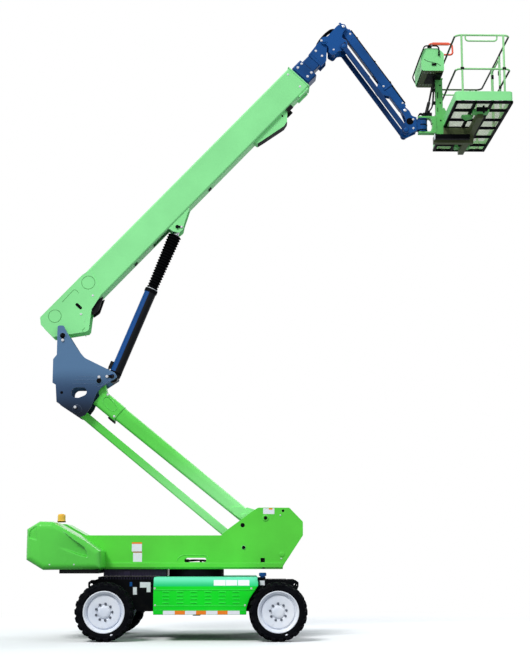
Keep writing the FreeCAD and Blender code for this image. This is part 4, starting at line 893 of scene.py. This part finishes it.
piece("lift_lug_pins", lug_pin, frame_black, *on_lug, mirrored=True)
piece("lift_lug_bolts", bolts([(0.068, 0.146, 0)], (0, 1, 0), 0.012), steel, *on_lug, mirrored=True)
boom_caps = [lathe([(0, -0.001), (0.040, -0.001), (0.040, 0.003), (0.034, 0.007), (0.020, 0.007), (0.017, 0.003),
                    (0, 0.003)], (0, 0.231, 0), steps=32)]
piece("boom_pin_caps", boom_caps, frame_black, "boom_outer", "arm_green", Matrix.Translation(boom_pin),
      mirrored=True)

# ---- main boom, middle and tip sections ----
# Two blue sections run inside the outer one on wear pads. The middle one ends in a thick collar with its
# pad bolts, the tip in two nose plates that hold the jib's knuckle.
eased("boom_middle", blue_enamel, 0.004)
eased("boom_tip", blue_enamel, 0.004)
piece("collar_bolts", bolts([(u, 0.150, v) for u in (5.770, 5.860) for v in (0.148, 0.366)], (0, 1, 0),
                            0.014), steel, "boom_middle", "arm_blue", on_boom, mirrored=True)
piece("collar_pads", [box((5.885, -0.09, v), (5.905, 0.09, v + 0.02), 0.003) for v in (0.112, 0.395)] +
      [box((5.885, y, 0.20), (5.905, y + 0.02, 0.34), 0.003) for y in (-0.125, 0.105)],
      moulded_black, "boom_middle", "arm_blue", on_boom)
piece("nose_welds", bead([(6.108, 0.135), (6.108, 0.396)], 0.1115, 0.012, 0.004), blue_enamel,
      "boom_tip", "arm_blue", on_boom, mirrored=True)
piece("nose_bolts", bolts([(6.195, 0.112, 0.359), (6.202, 0.112, 0.226), (6.375, 0.152, 0.405)], (0, 1, 0),
                          0.013), steel, "boom_tip", "arm_blue", on_boom, mirrored=True)
nose = Vector(joints["jib_knuckle_level"]["pos_m"])
nose_pin = [lathe([(0.029, 0), (0.052, 0), (0.050, 0.008), (0.031, 0.009)], (0, 0.138, 0), steps=28),
            lathe([(0, 0.010), (0.024, 0.010), (0.024, 0.018), (0, 0.020)], (0, 0.138, 0), steps=24)]
piece("nose_pin_rings", nose_pin, blue_enamel, "jib_knuckle", "arm_blue", Matrix.Translation(nose),
      mirrored=True)

# ---- main lift cylinder ----
# One big cylinder under the boom. Its rod is hidden in a pleated rubber boot that rides on the barrel.
lift_ahead = Vector(joints["lift_cylinder_stroke"]["axis"])
on_lift = beside(lift_foot, lift_foot + lift_ahead)
lift_long = (lift_head - lift_foot).length
lift_blue = enamel("lift_blue", (8, 72, 138), 0.9, 1.1, roughness=0.3, edge=shade(60, 120, 190), grime=0.0)
base = lift_blue.coloured()
# The barrel's lower side is painted near black: painted shade where it is turned from the sky.
outward = on_lift.to_3x3() @ Vector((0, 0, 1))
painted_shade_side = (lift_blue.east - lift_foot.x) * outward.x + (lift_blue.up - lift_foot.z) * outward.z
lift_blue.finish(lift_blue.mix(painted_shade_side.spread(0.012, -0.002), base, shade(5, 9, 16)))
eased("lift_cylinder_barrel", lift_blue, 0.004)
eased("lift_cylinder_rod", chrome)
boot_at, boot_end = 1.545, lift_long - 0.115
on_barrel = ("lift_cylinder_barrel", "cylinder_black", on_lift)
collars = [lathe([(0.052, 0), (0.104, 0), (0.104, 0.052), (0.098, 0.058), (0.052, 0.058)], (1.478, 0, 0),
                 (1, 0, 0), 40),
           lathe([(0.090, 0), (0.0965, 0), (0.0965, 0.03), (0.090, 0.03)], (0.075, 0, 0), (1, 0, 0), 40)]
piece("lift_gland", collars, frame_black, *on_barrel)
piece("lift_gland_ring", [lathe([(0.052, 0), (0.0985, 0), (0.0985, 0.008), (0.052, 0.008)], (1.537, 0, 0),
                                (1, 0, 0), 40)], steel, "lift_cylinder_barrel", "arm_blue", on_lift)
pleats = 21
pleat = (boot_end - boot_at) / pleats
boot_profile = [(0.056, 0.0), (0.082, 0.0)]
for i in range(pleats):
    wide = 0.092 + 0.020 * i / pleats
    boot_profile += [(wide - 0.022, pleat * (i + 0.10)), (wide - 0.002, pleat * (i + 0.44)),
                     (wide, pleat * (i + 0.5)), (wide - 0.002, pleat * (i + 0.56))]
boot_profile += [(0.080, boot_end - boot_at), (0.056, boot_end - boot_at)]
boot_black = plain("boot_rubber", ((2, 2, 3), (8, 8, 11)), (8, 4), (30, 3, 0.7, 0.9), (300,), 0.0004,
                   roughness=0.8, specular=0.04)
boot = piece("lift_boot", [lathe(boot_profile, (boot_at, 0, 0), (1, 0, 0), 40)], boot_black, *on_barrel, angle=60)
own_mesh(boot)
valve = [box((0.12, -0.045, 0.085), (0.24, 0.045, 0.140), 0.006),
         rod((0.06, 0.02, 0.150), (0.15, 0.02, 0.112), 0.014, 12)]
piece("lift_valve", valve, cylinder_black, *on_barrel)

# ---- jib ----
# A short blue arm under a levelled knuckle: an upper box tube with a thicker sleeve, a pair of lower links
# that keep the platform upright, and a cylinder between them.
jib_top, jib_end = Vector(joints["jib_lift"]["pos_m"]), Vector(joints["platform_level"]["pos_m"])
links_top = Vector(joints["jib_links_swing"]["pos_m"])
on_jib = beside(jib_top, jib_end)
links_end = jib_end + links_top - jib_top
for node in ("jib_knuckle", "jib_upper_tube", "jib_end_bracket", "platform_rotator"):
    eased(node, blue_enamel, 0.003)
link_navy = enamel("link_navy", (4, 58, 114), 0.7, 1.1, roughness=0.4, edge=shade(40, 96, 160), grime=0.0)
eased("jib_lower_links", link_navy, 0.003)
eased("jib_cylinder_barrel", cylinder_black, 0.002)
eased("jib_cylinder_rod", chrome)
plate_y = 0.138
fixed = [(nose.x + x, plate_y, nose.z + z) for x, z in ((0.257, 0.302), (0.154, -0.145), (0.322, -0.075))]
piece("jib_knuckle_bolts", bolts(fixed, (0, 1, 0), 0.013), steel, "jib_knuckle", "arm_blue", mirrored=True)
holders = [slab([(jib_top.x - 0.075, jib_top.z + 0.055, 0.008), (jib_top.x - 0.045, jib_top.z + 0.065, 0.008),
                 (jib_top.x + 0.02, jib_top.z - 0.012), (jib_top.x - 0.02, jib_top.z - 0.03)], plate_y + 0.006,
                plate_y + 0.011, 0.002)]
holders += [lathe([(0.026, 0), (0.042, 0), (0.040, 0.005), (0.028, 0.005)], (p.x, plate_y, p.z), steps=24)
            for p in (jib_top, nose + Vector((0.160, 0, -0.180)))]
piece("jib_knuckle_keepers", holders, blue_enamel, "jib_knuckle", "arm_blue", mirrored=True)
pins = [lathe([(0, 0), (0.024, 0), (0.024, 0.004), (0.017, 0.008), (0, 0.008)], (p.x, y, p.z), steps=24)
        for p, y in ((jib_top, 0.144), (jib_end, 0.096))]
piece("jib_pin_ends", pins, steel, "jib_upper_tube", "arm_blue", mirrored=True)
piece("jib_link_pins", [lathe([(0, 0), (0.034, 0), (0.034, 0.005), (0.026, 0.010), (0, 0.010)],
                              (p.x, 0.185, p.z), steps=24) for p in (links_top, links_end)],
      blue_enamel, "jib_lower_links", "arm_blue", mirrored=True)
seam = [box((1.238, -0.077, v), (1.256, 0.077, v + 0.012), 0.003) for v in (-0.068, 0.077)]
seam += [box((1.238, y, -0.062), (1.256, y + 0.008, 0.082), 0.002) for y in (-0.078, 0.070)]
for y in (0.073, -0.073):
    seam += bead([(0.238, -0.045), (0.238, 0.066)], y, 0.010, 0.004)
on_tube = ("jib_upper_tube", "arm_blue", on_jib)
piece("jib_sleeve_rim", seam, blue_enamel, *on_tube)
piece("jib_tube_bolts", bolts([(1.192, 0.073, -0.040), (0.15, 0.073, 0.04), (1.60, 0.065, 0.05)], (0, 1, 0),
                              0.011), steel, *on_tube, mirrored=True)
route = ((0.10, 0.096), (0.35, 0.097), (0.9, 0.096), (1.2, 0.097), (1.34, 0.092), (1.62, 0.090))
run = [hose([(u, y, v) for u, v in route], 0.010) for y in (-0.045, -0.015, 0.015, 0.045)]
run += [box((u, -0.066, 0.080), (u + 0.03, 0.066, 0.110), 0.004) for u in (0.25, 0.75, 1.18)]
piece("jib_hoses", run, moulded_black, *on_tube)
route = ((6.20, 0.38), (6.30, 0.44), (6.486, 0.462), (6.60, 0.455), (6.67, 0.435), (6.70, 0.395))
loops = [hose([on_boom @ Vector((u, y, v)) for u, v in route], 0.012) for y in (-0.06, -0.03, 0.0, 0.03, 0.06)]
piece("nose_hoses", loops, moulded_black, "jib_knuckle", "arm_blue")
bracket = [(jib_end.x + 0.130, 0.095, jib_end.z + z) for z in (-0.15, -0.30)]
piece("end_bracket_bolts", bolts(bracket + [(jib_end.x + 0.02, 0.095, jib_end.z - 0.30)], (0, 1, 0), 0.012),
      steel, "jib_end", "arm_blue", mirrored=True)
turn = Vector(joints["platform_turn"]["pos_m"])
piece("rotator_rings", [lathe([(0.070, 0), (0.082, 0), (0.082, 0.018), (0.070, 0.018)], (turn.x, 0, turn.z + z),
                              (0, 0, 1), 36) for z in (0.012, 0.100, 0.188)], frame_black, "jib_end", "arm_blue")
bracket_hole = lathe([(0, 0), (0.058, 0), (0.058, 0.002), (0, 0.002)],
                     (jib_end.x + 0.075, 0.0945, jib_end.z - 0.185), steps=32)
piece("end_bracket_hole", [bracket_hole], hole_shade_black, "jib_end", "arm_blue", mirrored=True)

# ---- platform: mast, arms and beams ----
# The platform hangs on a square mast held by a C-shaped yoke. Beams under the floor carry it, in the same
# pale green painted olive as painted shade, with a dark tube beside the middle one.
mast_green = enamel("mast_green", (106, 198, 106), 0.92, 1.06, edge=shade(196, 246, 204), grime=0.0)
eased("platform_mast", mast_green, 0.004)
# Olive is the beams' pale green darkened as painted shade, for their undersides.
painted_shade_olive = enamel("beam_green_painted_shade", (86, 96, 62), 0.9, 1.08, roughness=0.45, edge=shade(140, 150, 104), grime=0.0)
eased("platform_beams", painted_shade_olive, 0.003)
from_turn = Matrix.Translation((axle_x, 0, 0))
face_y = 0.048
slots = [((5.142, 8.575), (5.156, 8.685)), ((5.140, 8.350), (5.150, 8.420))]
marks = [slab([(a[0], a[1], 0.004), (b[0], a[1], 0.004), (b[0], b[1], 0.004), (a[0], b[1], 0.004)], face_y - 0.002,
              face_y + 0.001) for a, b in slots]
marks += [lathe([(0, 0), (0.014, 0), (0.014, 0.002), (0, 0.002)], (5.19, face_y - 0.001, z), steps=16)
          for z in (8.20, 8.50, 8.80)]
on_platform = ("platform", "arm_green", from_turn)
piece("mast_slots", marks, hole_shade_black, *on_platform, mirrored=True)
gusset = [slab([(5.230, 8.118), (5.230, 8.420, 0.02), (5.250, 8.420, 0.02), (5.330, 8.270), (5.330, 8.118)], y,
               y + 0.008, 0.001) for y in (-0.052, 0.044)]
gusset += [slab([(4.985, 8.248), (5.012, 8.238), (5.036, 8.212), (5.044, 8.160), (5.060, 8.160), (5.060, 8.248)],
                -0.058, 0.058),
           slab([(5.000, 8.010), (5.022, 8.020), (5.040, 8.045), (5.046, 8.080), (5.060, 8.080), (5.060, 8.010)],
                -0.058, 0.058)]
gusset.append(box((5.108, -0.056, 8.905), (5.238, 0.056, 8.925), 0.003))
piece("mast_gussets", gusset, mast_green, *on_platform)
ram = [rod((4.98, -0.07, 8.40), (5.06, -0.07, 8.78), 0.016, 14, 0.003),
       rod((4.95, -0.07, 8.31), (5.00, -0.07, 8.50), 0.026, 16, 0.004),
       rod((5.06, -0.07, 8.78), (5.085, -0.07, 8.93), 0.011, 12)]
under_platform = ("platform", "cylinder_black", from_turn)
piece("levelling_strut", ram, cylinder_black, *under_platform)
lines = []
for i, y in enumerate((-0.03, -0.005, 0.02, 0.045)):
    lines.append(hose([(4.98, y, 8.335), (5.03, y, 8.38 + 0.01 * i), (5.07, y * 1.2, 8.46), (5.085, y, 8.62),
                       (5.095, y, 8.80), (5.092, y, 8.93)], 0.010))
lines += [box((5.062, -0.05, z), (5.116, 0.055, z + 0.03), 0.004) for z in (8.50, 8.72)]
lines += [box((4.90, -0.055, 8.275), (5.05, 0.055, 8.335), 0.008),
          box((4.96, -0.05, 8.335), (5.02, 0.04, 8.372), 0.006)]
lines += [hose([(4.90, y, 8.31), (4.87, y, 8.33), (4.84, y, 8.31), (4.83, y, 8.276)], 0.010)
          for y in (-0.04, -0.01, 0.02)]
piece("mast_hoses", lines, moulded_black, *under_platform)
arm_tube = [box((5.078, -0.162, 7.858), (5.640, -0.084, 7.936), 0.006)]
piece("side_tube", arm_tube, frame_black, *under_platform)
piece("side_tube_cap", [box((5.064, -0.166, 7.852), (5.080, -0.080, 7.942), 0.008)], label_white, *on_platform)
brackets = [slab([(5.42, 8.068), (5.60, 8.068), (5.60, 8.040), (5.50, 8.015)], y, y + 0.14, 0.002)
            for y in (0.30, -0.72)]
brackets += [box((5.56, y, 8.030), (5.81, y + 0.15, 8.078), 0.004) for y in (0.82, -0.95)]
piece("floor_brackets", brackets, mast_green, *on_platform)
piece("floor_clamps", [box((5.60, y, 8.02), (5.77, y + 0.06, 8.078), 0.004) for y in (-1.05, 0.70)] +
      [rod((5.69, -1.12, 7.955), (5.69, -1.12, 8.075), 0.016, 14, 0.003)], frame_black, *under_platform)

# ---- platform floor ----
# A frame of black square tubes under a galvanised walkway mesh, which lets the sky through.
x0, x1, half_long, floor_z, tube = 5.24, 6.13, 1.22, 8.08, 0.04
tubes = [box((x0, y, floor_z), (x1, y + tube, floor_z + tube), 0.004)
         for y in (-half_long, -0.85, -0.40, 0, 0.45, 0.89, half_long - tube)]
tubes += [box((x, -half_long, floor_z), (x + tube, half_long, floor_z + tube), 0.004)
          for x in (x0, 5.53, 5.79, x1 - tube)]
piece("floor_frame", tubes, frame_black, *under_platform)
mesh_grey = Paint("walkway_mesh", roughness=0.5, metallic=0.2, specular=0.3)
mesh_grey.finish(mesh_grey.mix(mesh_grey.noise(3, 3).spread(0.3, 0.7), shade(150, 176, 128), shade(196, 208, 176)),
                 relief=mesh_grey.noise(200), depth=0.0003)
pitch, strand, mesh_top = 0.022, 0.0035, floor_z + tube + 0.004
weave = []
count = round(2 * half_long / pitch)
weave += [box((x0 + 0.002, -half_long + pitch * i, mesh_top - 0.0036),
              (x1 - 0.002, -half_long + pitch * i + strand, mesh_top)) for i in range(1, count)]
count = round((x1 - x0) / pitch)
weave += [box((x0 + pitch * i, -half_long + 0.002, mesh_top - 0.0032),
              (x0 + pitch * i + strand, half_long - 0.002, mesh_top - 0.0004)) for i in range(1, count)]
piece("floor_mesh", weave, mesh_grey, *under_platform, stands_for=["platform_floor"])
eased("platform_toe_boards", boom_green, 0.001)

# ---- guard rails and gate ----
# Round tube in pale green, clamped where the posts meet the middle rail, with a self-closing gate.
rail_green = enamel("rail_green", (158, 226, 152), 0.92, 1.06, roughness=0.36, edge=shade(200, 244, 204), grime=0.0)
base = rail_green.coloured()
# The top and middle rails inside the ends are painted dark olive: painted shade on their undersides.
inboard = (rail_green.side < 1.185) * (rail_green.side > -1.150)
level = (rail_green.up > 9.16) + (rail_green.up > 8.61) * (rail_green.up < 8.67)
rail_green.finish(rail_green.mix(inboard * level, base, shade(34, 46, 30)))
eased("platform_guard_rails", rail_green)
eased("platform_gate", rail_green)
end_y, mid_z = 1.196, 8.64
clamps = [box((x - 0.028, y - 0.024, mid_z - 0.012), (x + 0.028, y + 0.024, mid_z + 0.026), 0.006)
          for x in (5.359, 6.011) for y in (-end_y, end_y)]
clamps += [box((6.106 - 0.02, y - 0.02, mid_z - 0.02), (6.106 + 0.02, y + 0.02, mid_z + 0.02), 0.005)
           for y in (-0.40, 0.25)]
piece("rail_clamps", clamps, moulded_black, *on_platform)
feet = [lathe([(0.017, 0), (0.030, 0), (0.028, 0.010), (0.017, 0.014)], (x, y, mesh_top), (0, 0, 1), 20)
        for x in (5.359, 6.011) for y in (-end_y + 0.01, end_y - 0.01)]
piece("post_feet", feet, frame_black, *on_platform)
gate_hinge = Vector(joints["gate_swing"]["pos_m"])
knuckles = [rod((gate_hinge.x, gate_hinge.y, z), (gate_hinge.x, gate_hinge.y, z + 0.07), 0.021, 16, 0.003)
            for z in (8.22, 9.00)]
piece("gate_hinges", knuckles, frame_black, "platform_gate", "arm_green")
latch = [box((6.084, -0.375, 8.86), (6.130, -0.345, 8.93), 0.004),
         rod((6.107, -0.36, 8.93), (6.107, -0.36, 8.965), 0.008, 12, 0.002)]
piece("gate_latch", latch, frame_black, "platform_gate", "arm_green", from_turn)

# ---- control console ----
# A green housing on the mast's head, with a curved lid, a black catch and a black panel below. Its top
# carries blank plates, sticks and a stop button, inside a bent guard.
eased("control_console", boom_green, 0.004)
console_y = 0.38
lid = bead([(4.888, 9.118), (4.919, 9.100), (4.960, 9.078), (5.026, 9.068), (5.090, 9.050),
            (5.160, 9.012)], console_y, 0.008, 0.004)
piece("console_lid_seam", lid, frame_black, *on_platform, mirrored=True)
piece("console_catch", [box((5.012, console_y, 9.010), (5.086, console_y + 0.014, 9.048), 0.004)], frame_black,
      *on_platform, mirrored=True)
# The console's underside is painted olive: painted shade.
piece("console_belly", [box((4.868, -0.372, 8.917), (5.205, 0.372, 8.9255), 0.002)], painted_shade_olive, *on_platform)
piece("console_belly_panel", [box((4.96, -0.25, 8.911), (5.10, 0.18, 8.918), 0.003),
                              box((5.09, -0.30, 8.895), (5.20, 0.05, 8.918), 0.006)], moulded_black,
      *under_platform)
belly = [(4.905 + 0.05 * i, -0.30, 8.917) for i in range(4)] + [(4.905 + 0.05 * i, 0.24, 8.917) for i in range(4)]
piece("console_belly_screws", bolts(belly, (0, 0, -1), 0.007), steel, *on_platform)
top_z = 9.305
deck = [box((4.925, -0.33, top_z), (5.105, 0.33, top_z + 0.005), 0.002)]
for y in (-0.22, 0.12):
    deck.append(lathe([(0, 0), (0.036, 0), (0.030, 0.012), (0.016, 0.026), (0, 0.028)], (5.03, y, top_z + 0.005),
                      (0, 0, 1), 24))
    deck.append(rod((5.03, y, top_z + 0.025), (5.03, y, top_z + 0.085), 0.009, 12, tip=0.013))
    deck.append(rod((5.03, y, top_z + 0.080), (5.03, y, top_z + 0.098), 0.015, 16, 0.004, tip=0.012))
deck += [rod((4.97, y, top_z + 0.005), (4.97, y, top_z + 0.022), 0.005, 8) for y in (-0.08, -0.045, -0.01, 0.025)]
piece("console_controls", deck, moulded_black, *on_platform)
piece("console_plates", [box((4.94, y, top_z + 0.005), (4.985, y + 0.07, top_z + 0.0065))
                         for y in (-0.31, 0.20)], label_white, *on_platform)
piece("console_stop_button", [lathe(stop_button, (5.02, -0.03, top_z + 0.005), (0, 0, 1), 24)], stop_red,
      *on_platform)
eased("console_guard", frame_black)

# ---- anti-crush bar ----
# A bent bar in orange-red over the console, on a black socket.
crush_orange = enamel("crush_orange", (242, 104, 78), 0.92, 1.06, roughness=0.36,
                      edge=shade(255, 150, 120), grime=0.0)
eased("anti_crush_bar", crush_orange)
piece("crush_bar_socket", [rod((4.985, -0.30, 9.300), (4.985, -0.30, 9.386), 0.026, 18, 0.003),
                           box((4.960, -0.33, 9.300), (5.012, -0.27, 9.318), 0.005)], frame_black,
      "platform", "black_frame", from_turn)
pad_x, pad_z = (5.04, 5.315), (9.388, 9.436)
piece("crush_bar_pad", [box((pad_x[0], -0.318, pad_z[0]), (pad_x[1], -0.282, pad_z[1]), 0.012)],
      crush_orange, "platform", "guard_orange", from_turn)
